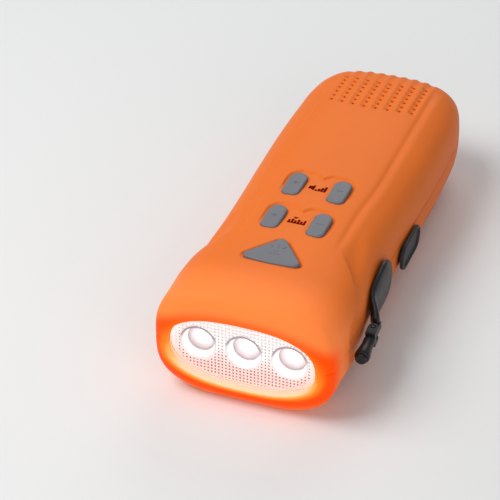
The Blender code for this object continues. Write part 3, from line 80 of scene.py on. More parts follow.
INNER_COLUMNS = 22
SKIN_SHARP = 60
CUT_SHARP = 50
SPLIT_ROUND = 0.55
SPLIT_FALL = 0.3
CREASE_FALL = 1.05
CREASE_FLANK = (0.62, 0.86)
CREASE_PLACE = 16
CREASE_BACK = 7.7
CREASE_SLOPE = 2.55
CREASE_LEVEL = 9.2
CREASE_EDGE = 0.9
CREASE_RUN = (3, 20)
GROOVE_PLACE = 16.3
GROOVE_SPREAD = 1.4
GROOVE_SPREAD_RUN = (58, 84)
GROOVE_DEPTH = 0.36
GROOVE_WIDTH = 1.1
GROOVE_START = (36, 52)
GROOVE_END = (138, 152)

# Lamp window
WINDOW_HALF_WIDTH = 23.6
WINDOW_HALF_HEIGHT = 11.8
WINDOW_HEIGHT = 18.8
WINDOW_POWER = 2.5
LENS_FRONT = 1.6
LENS_THICKNESS = 1.8
LENS_BACK = LENS_FRONT + LENS_THICKNESS
LENS_RINGS = ((0, LENS_BACK), (0, LENS_FRONT + 0.55), (0.12, LENS_FRONT + 0.22), (0.4, LENS_FRONT + 0.04),
              (0.9, LENS_FRONT))
LENS_PITCH = 1.15
DOME_HEIGHT = 0.28
DOT_SHARE = 0.27
PLATE_BACK = 4.9
CUP_SPACING = 14.6
CUPS = (-CUP_SPACING, 0, CUP_SPACING)
CUP_HEIGHT = 18.9
CONE_RADIUS = 5.7
CONE_END = 6.4
BOWL_RADIUS = 4.2
BOWL_FLOOR = 2.6
BOWL_DEPTH = 1.1
THROAT_END = 11.6
BOWL_WALL = 0.45
CONE_RIM = ((CONE_RADIUS - 0.2, 3.55), (CONE_RADIUS, 3.5), (CONE_RADIUS + 0.3, 3.62),
            (CONE_RADIUS + 0.3, 4.3), (BOWL_RADIUS + 0.9, CONE_END))
LED_RADIUS = 2.5
LED_COLLAR = ((LED_RADIUS, 1.25), (3.5, 1.2), (3.6, 1.1), (3.6, 0.1), (3.5, 0))
# Centre offset of the painted shade by each bowl's upper lip, from the cup's middle
LIP_SHADE = (-1.1, -2.1)
PATCH_SCALE = 260
PATCH_REACH = 3.2
GAP = 0.3

# Keys
KEY_HALF_SPACING = 7.5
KEY_WIDTH = 6.4
KEY_LENGTH = 13.0
KEY_PROUD = 0.8
FRONT_KEYS = 50.6
REAR_KEYS = 70.4
KEYS = {
    "tune_down": (-KEY_HALF_SPACING, FRONT_KEYS), "tune_up": (KEY_HALF_SPACING, FRONT_KEYS),
    "volume_down": (-KEY_HALF_SPACING, REAR_KEYS), "volume_up": (KEY_HALF_SPACING, REAR_KEYS),
}
LAMP_KEY_FRONT = 24.8
LAMP_KEY_REAR = 39.2
LAMP_KEY_HALF_WIDTH = 9.8
LAMP_KEY_ROUND = 2.5
LAMP_KEY_BOW = 0.6
LAMP_KEY_DRAWN = 0.8
KEY_DRAWN = 0.91
KEY_GAP = 0.14
KEY_OPENING = (28.6, 42)
CROWN_SUNK = 0.22
KEY_FRONT_ROUND = 2.1
STEM_SHARE = 0.45
FLANGE_LOW = 4.2
FLANGE_TOP = 3.2
CROWN_ROUND = 0.75
CROWN_FALL = 0.6
CROWN_RISE = 0.12
MARK_WIDTH = 0.42
MARK_HEIGHT = 0.16
MARK_LENGTH = 2.2
PRINT_DEPTH = 0.25
PRINT_LIFT = 0.12
RECESS_MARGIN = 0.8
RECESS_ROUND = 4.6
RECESS_REACH = 8.5
RECESS_DEPTH = 0.6
RECESS_EDGE = 0.25
RECESS_FADE = (-6.5, 1.5)
RECESS_LIP = 0.16
RECESS_LIP_AT = 0.6
RECESS_LIP_WIDTH = 0.45
LAMP_DISH_DEPTH = 0.9
LAMP_DISH_EDGE = (0.5, 1.4)
NOTCH_DEPTH = 2.8
NOTCH_HALF_WIDTH = 3.4
NOTCH_SLOPE = 0.7

# Crank
HUB_RADIUS = 7.6
HALF_ARM = 1.2
DOME_FALL = 1.15
DOME_REACH = 5.0
CRANK_PLACE = 52.0
CRANK_SLOPE = math.radians(6)
SHAFT_HOLE = 2.3
ARM_OFFSET = 27.7
ARM_LENGTH = 20.0
ARM_BEND = 3.6
ARM_ROUND = 0.85
ARM_SHARES = ((0, 1), (0.25, 0.97), (0.5, 0.86), (0.62, 0.77), (0.75, 0.65), (0.88, 0.52), (1, 0.42))
END_ROUND = 0.8
KNUCKLE_AT = 23.0
TONGUE_ROOT = 18.6
TONGUE_MIDDLE = ARM_OFFSET + HALF_ARM + ARM_BEND
KNOB_PROFILE = ((1.4, 3.5), (1.86, 3.5), (1.9, 3.65), (1.9, 4.2), (1.82, 5.2), (1.86, 6.4), (2.02, 7.6),
                (2.2, 8.8), (2.34, 9.8), (2.4, 10.5), (2.38, 11.0), (2.28, 11.4), (2.1, 11.65), (1.9, 11.7),
                (1.4, 11.7))
POST_VOXEL = 0.12
POST_SMOOTHING = 16
WELD_REACH = 0.001

# Grille
GRILLE_PITCH = 4.1
GRILLE_COLUMNS = 8
GRILLE_ROWS = 7
GRILLE_START = 124.2
GRILLE_ROW_PITCH = 2.9
GRILLE_ARC_RADIUS = 50.0
HOLE_RADIUS = 0.52
GRILLE_FIRST = -GRILLE_PITCH * (GRILLE_COLUMNS - 1) / 2
VALLEY_DEPTH = 0.36
VALLEY_HALF_WIDTH = 1.62
VALLEY_RAMP = (-1.6, 1.2)
DIMPLE_DEPTH = 0.34
DIMPLE_RADIUS = 1.3

# Port and underside
PORT_PLACE = (80, 14.8)
PORT_LENGTH = 16.4
PORT_WIDTH = 6.0
PORT_OPENING = (24.6, 33)
# Width, length and distance across of the door's rings, from the plug inside to the sunk middle
DOOR_RINGS = [(5.1, 15.2, 26.9), (5.1, 15.2, 28.5), (9, 20, 28.5), (9, 20, 29.15)]
for turn in np.linspace(0.2, math.pi / 2, 6):
    inset = 1 - math.cos(turn)
    DOOR_RINGS.append((9 - inset, 20 - inset, 29.15 + 0.5 * math.sin(turn)))
DOOR_RINGS += [(7.1, 18.1, 29.62), (6.8, 17.8, 29.45), (6.5, 17.5, 29.1), (6.2, 17.2, 28.95), (3, 13, 28.9),
               (0.6, 11, 28.9)]
SCREW_HOLE = 2.3
SCREW_SINK = 3.9
SCREW_ACROSS = 19.5
SCREW_PLACES = (20.5, 113.5)

# Camera
CAMERA_TURN = math.radians(20.42)
CAMERA_RISE = math.radians(34.63)
CAMERA_LENS = 148.3
CAMERA_TARGET = (0, -23.1, 18.8)
CAMERA_SHIFT = (-16.67, 2.6)
CAMERA_DISTANCE = 658.0
CAMERA_CLIP = (0.05, 20)

# Finishes and lights
# Painted lamp light on the orange rim: the base colour it turns to by the window, and the emission colours
# outwards
DEEP_ORANGE = (0.95, 0.060, 0.0)
GLOW_STEPS = ((0.05, 0.45, (1.0, 0.30, 0.02)), (0.45, 0.80, (1.0, 0.50, 0.16)),
              (0.80, 0.97, (1.0, 0.84, 0.72)))
DRIFT_SCALE = 45
GRAIN_HEIGHT = 0.0002
LIGHT_AIM = (0, 0, 20)
LIGHTS = (("key_light", (-380, -230, 610), 0.45, 3.9), ("fill_light", (360, -520, 300), 0.6, 1.3),
          ("back_light", (-60, 520, 380), 0.4, 1.0))


def smooth_read(table, share):
    """Values along a table of (place, value) by cubic pieces whose slopes are the table's own gradient."""
    places, values = np.array(table, float).T
    slopes = np.gradient(values, places)
    share = np.asarray(share, float)
    i = np.clip(np.searchsorted(places, share) - 1, 0, len(places) - 2)
    span = places[i + 1] - places[i]
    t = (share - places[i]) / span
    return ((1 + 2 * t) * (1 - t) ** 2 * values[i] + t * (1 - t) ** 2 * span * slopes[i]
            + t * t * (3 - 2 * t) * values[i + 1] + t * t * (t - 1) * span * slopes[i + 1])


def half_width(d):
    """Half width of the housing along it."""
    return HEAD_HALF_WIDTH * smooth_read(WIDTHS, np.asarray(d) / LENGTH)


def top_height(d):
    """Height of the crown of the roof along the housing."""
    return HEIGHT * smooth_read(TOPS, np.asarray(d) / LENGTH)


def bottom_height(d):
    """Height of the underside along the housing."""
    return np.maximum(HEIGHT * smooth_read(BOTTOMS, np.asarray(d) / LENGTH), 0)


def roof(x, d):
    """Height of the top skin: a rounded section of power three that rises from the split line."""
    share = np.clip(np.abs(x) / half_width(d), 0, 1)
    return SPLIT + (top_height(d) - SPLIT) * (1 - share ** POWER) ** (1 / POWER)


def step(low, high, value):
    """Smooth step from 0 at low to 1 at high."""
    t = np.clip((np.asarray(value) - low) / (high - low), 0, 1)
    return t * t * (3 - 2 * t)


def bell(value, width):
    """Bell curve of a given half width at about a third of its height."""
    return np.exp(-(np.asarray(value) / width) ** 2)


def grid_faces(rows, columns, start=0, closed=False):
    """Quads of a grid of points kept row by row; a closed grid joins its last column to its first."""
    i = np.arange(rows - 1)[:, None] * columns
    count = columns if closed else columns - 1
    j = np.arange(count)[None, :]
    k = (j + 1) % columns
    quads = np.stack((i + j, i + k, i + columns + k, i + columns + j), -1)
    return quads.reshape(-1, 4) + start


def zip_faces(first, second):
    """Triangles between two runs of points that start and end together, taken in step by their shares."""
    a, b = np.linspace(0, 1, len(first)), np.linspace(0, 1, len(second))
    near = np.searchsorted(b, (a[:-1] + a[1:]) / 2).clip(0, len(b) - 1)
    fans = np.stack((first[:-1], first[1:], second[near]), -1)
    far = np.searchsorted((a[:-1] + a[1:]) / 2, b[:-1], side="right").clip(0, len(a) - 1)
    links = np.stack((second[:-1], first[far], second[1:]), -1)
    return np.vstack((fans, links))


def facing_out(points, faces):
    """Turns every face round where the shape's signed volume, summed over its triangles, is negative."""
    total = 0.0
    for block in faces:
        for k in range(1, block.shape[1] - 1):
            a, b, c = points[block[:, 0]], points[block[:, k]], points[block[:, k + 1]]
            total += np.einsum("ij,ij->", a, np.cross(b, c))
    return faces if total > 0 else [block[:, ::-1] for block in faces]


def scene_object(name, data):
    """New object in the scene."""
    made = bpy.data.objects.new(name, data)
    bpy.context.collection.objects.link(made)
    return made


def mesh_object(name, shape):
    """Object from points in millimetres and arrays of their indices."""
    points, faces = shape
    mesh = bpy.data.meshes.new(name)
    listed = [face for block in faces for face in block.tolist()]
    mesh.from_pydata(((points - (0, LENGTH / 2, 0)) * MM).tolist(), [], listed)
    return scene_object(name, mesh)


def new_piece(name, shape, material, body, nodes, sharp):
    """Object from a (points, faces) shape, facing outwards, which rides on a body and replaces nodes."""
    piece = mesh_object(name, (shape[0], facing_out(*shape)))
    piece.data.validate()
    piece.data.shade_smooth()
    piece.data.set_sharp_from_angle(angle=math.radians(sharp))
    piece.data.materials.append(material)
    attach(piece, body)
    if nodes:
        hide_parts(*nodes)
    return piece


def graded(*runs):
    """Places along a line: each run is (start, end, spacing), and the ends of runs are shared."""
    parts = [np.linspace(a, b, max(int(round(abs(b - a) / gap)), 1) + 1)[1:] for a, b, gap in runs]
    return np.concatenate([[runs[0][0]], *parts])


def section_angles(arc_runs):
    """Angles of a power-three half section whose points lie at given distances from the crown, both ways."""
    angle = np.linspace(0, math.pi / 2, 4001)
    x = SECTION_HALF_WIDTH * np.cos(angle).clip(0) ** (2 / POWER)
    z = SECTION_RISE * np.sin(angle) ** (2 / POWER)
    reach = np.concatenate([[0], np.cumsum(np.hypot(np.diff(x), np.diff(z)))])
    arcs = graded(*arc_runs)
    arcs = arcs * reach[-1] / arcs[-1]
    right = np.interp(reach[-1] - arcs, reach, angle)
    return np.concatenate([right[::-1], math.pi - right[1:]])


def section(d, angles, side, inset=0.0, base=SPLIT):
    """Half section of the housing: half width times a power of the cosine, rise times a power of the sine."""
    d = np.asarray(d, float)[:, None]
    c, s = np.cos(angles)[None, :], np.sin(angles)[None, :].clip(0)
    x = (half_width(d) - inset) * np.sign(c) * np.abs(c) ** (2 / POWER)
    if side > 0:
        return x, base + (top_height(d) - base - inset) * s ** (2 / POWER)
    floor = bottom_height(d) + inset
    fall = base - (base - floor + FLAT_DEPTH) * s ** (2 / POWER)
    lift = np.log1p(np.exp((fall - floor) * 9)) / 9
    return x, floor + lift


def window_section(angles, side, base):
    """Half outline of the lamp window on the same angles, a rounded oval of power two and a half."""
    c, s = np.cos(angles)[None, :], np.sin(angles)[None, :].clip(0)
    rise = WINDOW_HALF_HEIGHT + side * (WINDOW_HEIGHT - base)
    return (WINDOW_HALF_WIDTH * np.sign(c) * np.abs(c) ** (2 / WINDOW_POWER),
            base + side * rise * s ** (2 / WINDOW_POWER))


def normals_of(grid):
    """Unit normals of a grid of points, from the cross product of its two directions."""
    along = np.gradient(grid, axis=0)
    across = np.gradient(grid, axis=1)
    n = np.cross(across, along)
    return n / np.linalg.norm(n, axis=2, keepdims=True).clip(1e-9)


def slot_distance(x, d, place):
    """Distance outside a key whose rear end is a half circle and whose front corners are tighter."""
    u = np.abs(np.abs(x) - KEY_HALF_SPACING)
    v = d - place
    radius = KEY_WIDTH / 2
    front = KEY_FRONT_ROUND
    rear_part = np.hypot(u, np.maximum(v - (KEY_LENGTH / 2 - radius), 0)) - radius
    du, dv = u - (radius - front), -v - (KEY_LENGTH / 2 - front)
    front_part = np.hypot(np.maximum(du, 0), np.maximum(dv, 0)) + np.minimum(np.maximum(du, dv), 0) - front
    return np.where(v > 0, rear_part, front_part)


def triangle_distance(x, d, margin):
    """Distance outside the rounded triangle of the lamp key, which points to the tail."""
    tip = LAMP_KEY_REAR - LAMP_KEY_ROUND
    foot = LAMP_KEY_FRONT + LAMP_KEY_ROUND
    half = LAMP_KEY_HALF_WIDTH - LAMP_KEY_ROUND
    a = np.stack((np.abs(x), d), -1)
    corner, point = np.array((half, foot)), np.array((0.0, tip))
    edge = point - corner
    t = np.clip(((a - corner) @ edge) / (edge @ edge), 0, 1)
    to_side = np.linalg.norm(a - corner - t[..., None] * edge, axis=-1)
    bowed_foot = foot - LAMP_KEY_BOW * (1 - (x / half) ** 2).clip(0)
    to_foot = np.hypot(np.maximum(np.abs(x) - half, 0), d - bowed_foot)
    normal = np.array((edge[1], -edge[0])) / np.linalg.norm(edge)
    inside = ((a - corner) @ normal < 0) & (d > bowed_foot)
    distance = np.minimum(to_side, to_foot)
    return np.where(inside, -distance, distance) - LAMP_KEY_ROUND - margin


def pair_recess(x, d, place):
    """Depth of the shallow recess round two keys: round corners behind, a notch between, no front edge."""
    across = np.abs(x) - (KEY_HALF_SPACING + KEY_WIDTH / 2 + RECESS_MARGIN - RECESS_ROUND)
    along = d - place - (RECESS_REACH - RECESS_ROUND)
    box = np.hypot(across.clip(0), along.clip(0)) + np.minimum(np.maximum(across, along), 0) - RECESS_ROUND
    rise = NOTCH_DEPTH * (1 - np.sin((np.abs(x) / NOTCH_HALF_WIDTH).clip(0, 1) * math.pi / 2))
    edge = np.maximum(box, NOTCH_SLOPE * (d - place - RECESS_REACH + rise))
    lip = RECESS_LIP * bell(edge - RECESS_LIP_AT, RECESS_LIP_WIDTH)
    fade = step(place + RECESS_FADE[0], place + RECESS_FADE[1], d)
    return (RECESS_DEPTH * (1 - step(-RECESS_EDGE, RECESS_EDGE, edge)) - lip) * fade


def grille_relief(x, d):
    """Depth of the grille: round valleys that run over the tail end, and a dimple at each hole."""
    index = np.clip(np.round((x - GRILLE_FIRST) / GRILLE_PITCH), 0, GRILLE_COLUMNS - 1)
    centre = GRILLE_FIRST + GRILLE_PITCH * index
    u = x - centre
    start = GRILLE_START + centre ** 2 / (2 * GRILLE_ARC_RADIUS)
    ramp = step(*VALLEY_RAMP, d - start)
    valley = VALLEY_DEPTH * (1 - (np.abs(u) / VALLEY_HALF_WIDTH).clip(0, 1) ** 2) ** 1.2 * ramp
    row = np.clip(np.round((d - start) / GRILLE_ROW_PITCH - 0.5), 0, GRILLE_ROWS - 1)
    v = d - start - GRILLE_ROW_PITCH * (row + 0.5)
    return valley + DIMPLE_DEPTH * (1 - (np.hypot(u, v) / DIMPLE_RADIUS).clip(0, 1) ** 2)


def top_relief(x, d, arc):
    """Inward depth of every moulded feature of the top skin."""
    lamp = triangle_distance(x, d, -LAMP_KEY_DRAWN)
    keys = np.minimum(slot_distance(x, d, FRONT_KEYS), slot_distance(x, d, REAR_KEYS))
    fade = step(LAMP_KEY_FRONT - 2, LAMP_KEY_FRONT + 5, d)
    depth = LAMP_DISH_DEPTH * (1 - step(*LAMP_DISH_EDGE, lamp)) * fade
    for place in (FRONT_KEYS, REAR_KEYS):
        depth = np.maximum(depth, pair_recess(x, d, place))
    line = np.abs(x) - GROOVE_PLACE - GROOVE_SPREAD * step(*GROOVE_SPREAD_RUN, d)
    run = step(*GROOVE_START, d) * (1 - step(*GROOVE_END, d))
    depth += run * (GROOVE_DEPTH * bell(line, GROOVE_WIDTH) - 0.12 * bell(line - 2.3, 1.2))
    depth += grille_relief(x, d)
    depth += 0.12 * (1 - step(GAP, GAP + 0.5, keys))
    return depth + SPLIT_FALL * (1 - step(0, SPLIT_ROUND, arc))


def shoulder(x, z, d, side):
    """Depth of the crease where the neck leaves the head: it lies further back away from the split line."""
    flank = step(*CREASE_FLANK, np.abs(x) / half_width(d))
    away = np.abs(z - SPLIT)
    crease = CREASE_PLACE + np.log1p(np.exp((CREASE_BACK + CREASE_SLOPE * (away - CREASE_LEVEL)) / 2)) * 2
    behind = d - crease
    return CREASE_FALL * flank * step(-CREASE_EDGE, CREASE_EDGE, behind) * (1 - step(*CREASE_RUN, behind))


TOP_ARCS = ((0, 17.4, 0.3), (17.4, 36, 0.75), (36, 38.5, 0.3))
LOW_ARCS = ((0, 36, 1.1), (36, 38.5, 0.3))
TOP_ROWS = ((RIM_ROUND, 23, 0.7), (23, 79, 0.31), (79, 121, 0.8), (121, 152, 0.31),
            (152, LENGTH - TAIL_CAP, 0.4))
LOW_ROWS = ((RIM_ROUND, 60, 0.8), (60, 100, 0.7), (100, 150, 0.9), (150, LENGTH - TAIL_CAP, 0.5))


def layer(x, places, z):
    """Grid of points whose places along the housing are given row by row."""
    return np.stack(np.broadcast_arrays(x, np.asarray(places, float)[:, None], z), -1)


def tail_caps(last, centre):
    """Shrinking copies of the last row on a quarter turn, which close the tail round its centre."""
    turn = np.linspace(0, math.pi / 2, 7)[1:-1, None, None]
    inward = np.concatenate((np.cos(turn), np.zeros_like(turn), np.cos(turn)), -1)
    outward = np.concatenate((np.zeros_like(turn), TAIL_CAP * np.sin(turn), np.zeros_like(turn)), -1)
    return centre + (last - centre)[None] * inward + outward


def housing_half(name, side, arcs, rows, base, relief, material):
    """One half of the housing: window lip, rounded rim, sculpted skin, domed tail and a plain inner skin.
    Between the window and the first section the points go over by the sine of a quarter turn."""
    angles = section_angles(arcs)
    count = len(angles)
    turn = np.linspace(0, math.pi / 2, RIM_STEPS + 1)[:-1]
    rim_places = FRONT_FACE + (RIM_ROUND - FRONT_FACE) * (1 - np.cos(turn))
    window_x, window_z = window_section(angles, side, base)
    x, z = section(rim_places, angles, side, base=base)
    share = np.sin(turn)[:, None]
    rim = layer(window_x * (1 - share) + x * share, rim_places, window_z * (1 - share) + z * share)
    lip = layer(window_x, LIP_PLACES, window_z)
    places = graded(*rows)
    x, z = section(places, angles, side, base=base)
    outer = np.concatenate((lip, rim, layer(x, places, z)))
    depth = relief(outer[:, :, 0], outer[:, :, 1], outer[:, :, 2], np.abs(outer[:, :, 2] - base))
    depth[:len(lip) + PLAIN_RIM_ROWS] = 0
    outer = outer + side * normals_of(outer) * depth[:, :, None]
    outer[:, :, 2] = np.minimum(outer[:, :, 2], HEIGHT)
    outer = np.concatenate((outer, tail_caps(outer[-1], np.array((0, outer[-1, 0, 1], base)))))

    inner_angles = np.union1d(angles[::max(count // INNER_COLUMNS, 1)], angles[[0, -1]])
    inner_places = np.clip(outer[:, 0, 1], FRONT_WALL, LENGTH - WALL - 0.2)
    x, z = section(np.minimum(inner_places + WALL, LENGTH), inner_angles, side, WALL, base)
    inner = layer(x, inner_places, z)
    inner[:len(lip) + 3, :, 1] = FRONT_WALL + np.linspace(0, 0.02, len(lip) + 3)[:, None]

    out_rows, in_rows, in_count = len(outer), len(inner), len(inner_angles)
    tail_out = out_rows * count
    start_in = tail_out + 1
    tail_in = start_in + in_rows * in_count
    points = np.concatenate((outer.reshape(-1, 3), [(0, LENGTH, base)],
                             inner.reshape(-1, 3), [(0, inner[-1, 0, 1] + 0.1, base)]))
    faces = [grid_faces(out_rows, count), grid_faces(in_rows, in_count, start_in)[:, ::-1]]
    tail = tail_out - count + np.arange(count)
    faces.append(np.stack((tail[:-1], tail[1:], np.full(count - 1, tail_out)), -1))
    tail = tail_in - in_count + np.arange(in_count)
    faces.append(np.stack((tail[1:], tail[:-1], np.full(in_count - 1, tail_in)), -1))
    faces.append(zip_faces(np.arange(count), start_in + np.arange(in_count))[:, ::-1])
    for edge, edge_in, flip in ((0, 0, 1), (count - 1, in_count - 1, -1)):
        first = np.append(np.arange(out_rows) * count + edge, tail_out)
        second = np.append(start_in + np.arange(in_rows) * in_count + edge_in, tail_in)
        faces.append(zip_faces(first, second)[:, ::flip])
    shell = name.replace("skin", "shell")
    return new_piece(name, (points, faces), material, "housing", (shell,), SKIN_SHARP)


def loft(rings):
    """Closed shape over a stack of rings of points: quads between them, and a fan from the middle of the
    first and the last."""
    rings = np.asarray(rings, float)
    rows, columns = rings.shape[:2]
    last, low = (rows - 1) * columns, rows * columns
    j = np.arange(columns)
    k = (j + 1) % columns
    faces = [grid_faces(rows, columns, closed=True), np.stack((k, j, np.full(columns, low)), -1),
             np.stack((last + j, last + k, np.full(columns, low + 1)), -1)]
    return np.concatenate((rings.reshape(-1, 3), [rings[0].mean(0)], [rings[-1].mean(0)])), faces


def at_height(outline, height):
    """Points of an outline with their height, one for all or one for each."""
    return np.column_stack((outline, np.broadcast_to(height, len(outline))))


def gather(shapes):
    """Several (points, faces) shapes as one."""
    points, faces, start = [], [], 0
    for shape, blocks in shapes:
        points.append(shape)
        faces += [block + start for block in facing_out(shape, blocks)]
        start += len(shape)
    return np.concatenate(points), faces


def column(outline, low, high, axis=2):
    """Straight prism over an outline of points along one axis, from low to high."""
    return loft([np.insert(outline, axis, h, axis=1) for h in (low, high)])


def circle(radius, count, u, v):
    """Points round a circle by cosine and sine."""
    a = np.arange(count) * 2 * math.pi / count
    return np.stack((u + radius * np.cos(a), v + radius * np.sin(a)), -1)


def carve(piece, shapes):
    """Cut closed shapes out of a closed piece and keep the result as its mesh."""
    tool = mesh_object("opening", gather(shapes))
    modifier = piece.modifiers.new("openings", "BOOLEAN")
    modifier.operation = "DIFFERENCE"
    modifier.solver = "MANIFOLD"
    modifier.object = tool
    bpy.context.view_layer.update()
    evaluated = piece.evaluated_get(bpy.context.evaluated_depsgraph_get())
    cut = bpy.data.meshes.new_from_object(evaluated)
    piece.modifiers.clear()
    piece.data = cut
    mesh = tool.data
    bpy.data.objects.remove(tool)
    bpy.data.meshes.remove(mesh)
    cut.shade_smooth()
    cut.set_sharp_from_angle(angle=math.radians(CUT_SHARP))


def arc_points(u, v, radius, start, end, count):
    """Points along an arc about a centre."""
    a = np.linspace(start, end, count)
    return np.stack((u + radius * np.cos(a), v + radius * np.sin(a)), -1)


def key_outline(margin):
    """Outline of a key as drawn, a little narrower across: a half circle behind and tighter corners in
    front, grown by a margin."""
    rear, front = KEY_WIDTH / 2 + margin, KEY_FRONT_ROUND + margin
    v_rear, v_front = KEY_LENGTH / 2 - KEY_WIDTH / 2, -KEY_LENGTH / 2 + KEY_FRONT_ROUND
    u_front = KEY_WIDTH / 2 - KEY_FRONT_ROUND
    arcs = (arc_points(0, v_rear, rear, 0, math.pi, 25),
            arc_points(-u_front, v_front, front, math.pi, 1.5 * math.pi, 9),
            arc_points(u_front, v_front, front, 1.5 * math.pi, 2 * math.pi, 9))
    return np.concatenate(arcs) * (KEY_DRAWN, 1)


def triangle_ring(margin):
    """Outline of the lamp key: three rounded corners and a foot that bows towards the lamp."""
    radius = LAMP_KEY_ROUND + margin
    half = LAMP_KEY_HALF_WIDTH - LAMP_KEY_ROUND
    foot = LAMP_KEY_FRONT + LAMP_KEY_ROUND
    tip = LAMP_KEY_REAR - LAMP_KEY_ROUND
    lean = math.atan2(tip - foot, half)
    x = np.linspace(-half, half, 12)[1:-1]
    arcs = (arc_points(half, foot, radius, -math.pi / 2, math.pi / 2 - lean, 12),
            arc_points(0, tip, radius, math.pi / 2 - lean, math.pi / 2 + lean, 12),
            arc_points(-half, foot, radius, math.pi / 2 + lean, 1.5 * math.pi, 12),
            np.stack((x, foot - radius - LAMP_KEY_BOW * (1 - (x / half) ** 2)), -1))
    return np.concatenate(arcs)


def raised_bar(u, v, length, level, turn=0.0):
    """Low rounded bar of a key's mark: a slot outline that shrinks as it rises."""
    c, s = math.cos(turn), math.sin(turn)
    top = level + MARK_HEIGHT
    rings = []
    for margin, z in ((0, level - 0.1), (0, level + MARK_HEIGHT / 2), (0.15, top), (0.35, top)):
        right = arc_points(0, 0, MARK_WIDTH / 2 - MARK_WIDTH * margin, -math.pi / 2, math.pi / 2, 9)
        right = right + ((length - MARK_WIDTH) / 2, 0)
        rings.append(at_height(np.concatenate((right, -right)) @ np.array(((c, s), (-s, c))) + (u, v), z))
    return loft(rings)


def key_body(outline, x, d, foot, crown):
    """One rubber key: stem, flange under the roof, straight wall, and a crown that goes over in a quarter
    turn and swells a little by one less the square of its share."""
    low, high, level = crown - FLANGE_LOW, crown - FLANGE_TOP, crown - CROWN_RISE
    steps = [(0, foot, STEM_SHARE), (0, low, STEM_SHARE), (KEY_PROUD, low, 1), (KEY_PROUD, high, 1)]
    steps += [(0, high, 1)]
    for a in np.linspace(0, math.pi / 2, 7):
        steps.append((-CROWN_ROUND * (1 - math.cos(a)), level - CROWN_FALL * (1 - math.sin(a)), 1))
    steps += [(-CROWN_ROUND, level + 0.1 * (1 - s * s), s) for s in (0.8, 0.55, 0.3, 0.1)]
    return loft([at_height(outline(margin) * scale + (x, d), z) for margin, z, scale in steps])


def flat_print(outlines):
    """Thin ink shapes that lie on the top skin: each outline follows the roof and is a little thick."""
    shapes = []
    for outline in outlines:
        x, d = outline[:, 0], outline[:, 1]
        z = roof(x, d) - np.maximum(pair_recess(x, d, FRONT_KEYS), pair_recess(x, d, REAR_KEYS))
        shapes.append(loft([at_height(outline, z + h) for h in (-PRINT_DEPTH, PRINT_LIFT)]))
    return gather(shapes)


def turned_shape(profile, centre, axis, count):
    """Profile of (radius, place) points turned about an axis; the ends close on the axis."""
    profile = np.asarray(profile, float)
    a = np.arange(count) * 2 * math.pi / count
    r, h = profile[:, 0][:, None], profile[:, 1][:, None]
    u, v = r * np.cos(a), r * np.sin(a)
    h = np.broadcast_to(h, u.shape)
    rings = {"z": np.stack((u, v, h), -1), "y": np.stack((v, h, u), -1), "x": np.stack((h, u, v), -1)}[axis]
    return loft(rings + np.asarray(centre, float))


def turned_ring(profile, centre, count):
    """Closed profile that keeps clear of the y axis, turned into a ring whose last row joins its first."""
    points, faces = turned_shape(profile, centre, "y", count)
    j = np.arange(count)
    k = (j + 1) % count
    last = (len(profile) - 1) * count
    return points[:-2], [faces[0], np.stack((last + j, last + k, k, j), -1)]


def crank_place(points):
    """Turns points drawn about the hub, arm towards the lamp, to the crank's rest slope."""
    points = np.asarray(points, float)
    c, s = math.cos(CRANK_SLOPE), math.sin(CRANK_SLOPE)
    y, z = points[..., 1], points[..., 2]
    return np.stack((points[..., 0], CRANK_PLACE + y * c - z * s, SPLIT + y * s + z * c), -1)


def plump_rings(reach, half_thick, half_wide, radius, middle):
    """Rounded rectangular rings along the crank's arm, one per reach, whose outer face falls in a square
    curve towards the arm's outline."""
    corner = np.linspace(0, math.pi / 2, 7)
    faces = np.linspace(1, -1, 19)[1:-1]
    sign, across, c, s = [], [], [], []
    for side in (1, -1):
        sign += [side] * (14 + len(faces))
        across += [side] * 7 + list(faces * side) + [-side] * 7
        c += list(np.sin(corner) * side) + [side] * len(faces) + list(np.cos(corner) * side)
        s += list(np.cos(corner) * side) + [0] * len(faces) + list(-np.sin(corner) * side)
    sign, across, c, s = map(np.array, (sign, across, c, s))
    thick, wide, along = half_thick[:, None], half_wide[:, None], reach[:, None]
    rho = np.minimum(radius, np.minimum(thick, wide))
    x = sign * (thick - rho) + rho * c
    w = across * (wide - rho) + rho * s
    inward = np.where(along < 0, HUB_RADIUS - np.hypot(along, w), wide - np.abs(w))
    fall = DOME_FALL * (1 - (inward / DOME_REACH).clip(0, 1)) ** 2 * (1 - 0.5 * step(12, 20, along))
    x = x - fall * thick / HALF_ARM * (x / thick + 1) / 2 + middle[:, None]
    return np.stack((x, np.broadcast_to(-along, x.shape), w), -1)


def principled(material):
    """Node tree of a material and its main shader."""
    return material.node_tree, material.node_tree.nodes["Principled BSDF"]


def feed(tree, node, values):
    """Sets inputs of a node, each to a number, a colour or another node's output."""
    for name, value in values.items():
        if isinstance(value, tuple):
            value = value + (1,)
        if isinstance(value, (int, float, tuple)):
            node.inputs[name].default_value = value
        else:
            tree.links.new(value, node.inputs[name])


def maths(tree, operation, first, second=0.0):
    """One arithmetic node on two values, each a socket or a number."""
    node = tree.nodes.new("ShaderNodeMath")
    node.operation = operation
    feed(tree, node, {0: first, 1: second})
    return node.outputs[0]


def span(tree, value, low, high, start=0.0, end=1.0, kind="SMOOTHSTEP"):
    """Smooth step of a value between two places, from start to end, or a straight one."""
    node = tree.nodes.new("ShaderNodeMapRange")
    node.interpolation_type = kind
    feed(tree, node, {"Value": value, "From Min": low, "From Max": high, "To Min": start, "To Max": end})
    return node.outputs["Result"]


def blend(tree, share, first, second):
    """Mix of two colours, each a socket or a triple, by a share."""
    node = tree.nodes.new("ShaderNodeMix")
    node.data_type = "RGBA"
    feed(tree, node, {"Factor": share, "A": first, "B": second})
    return node.outputs["Result"]


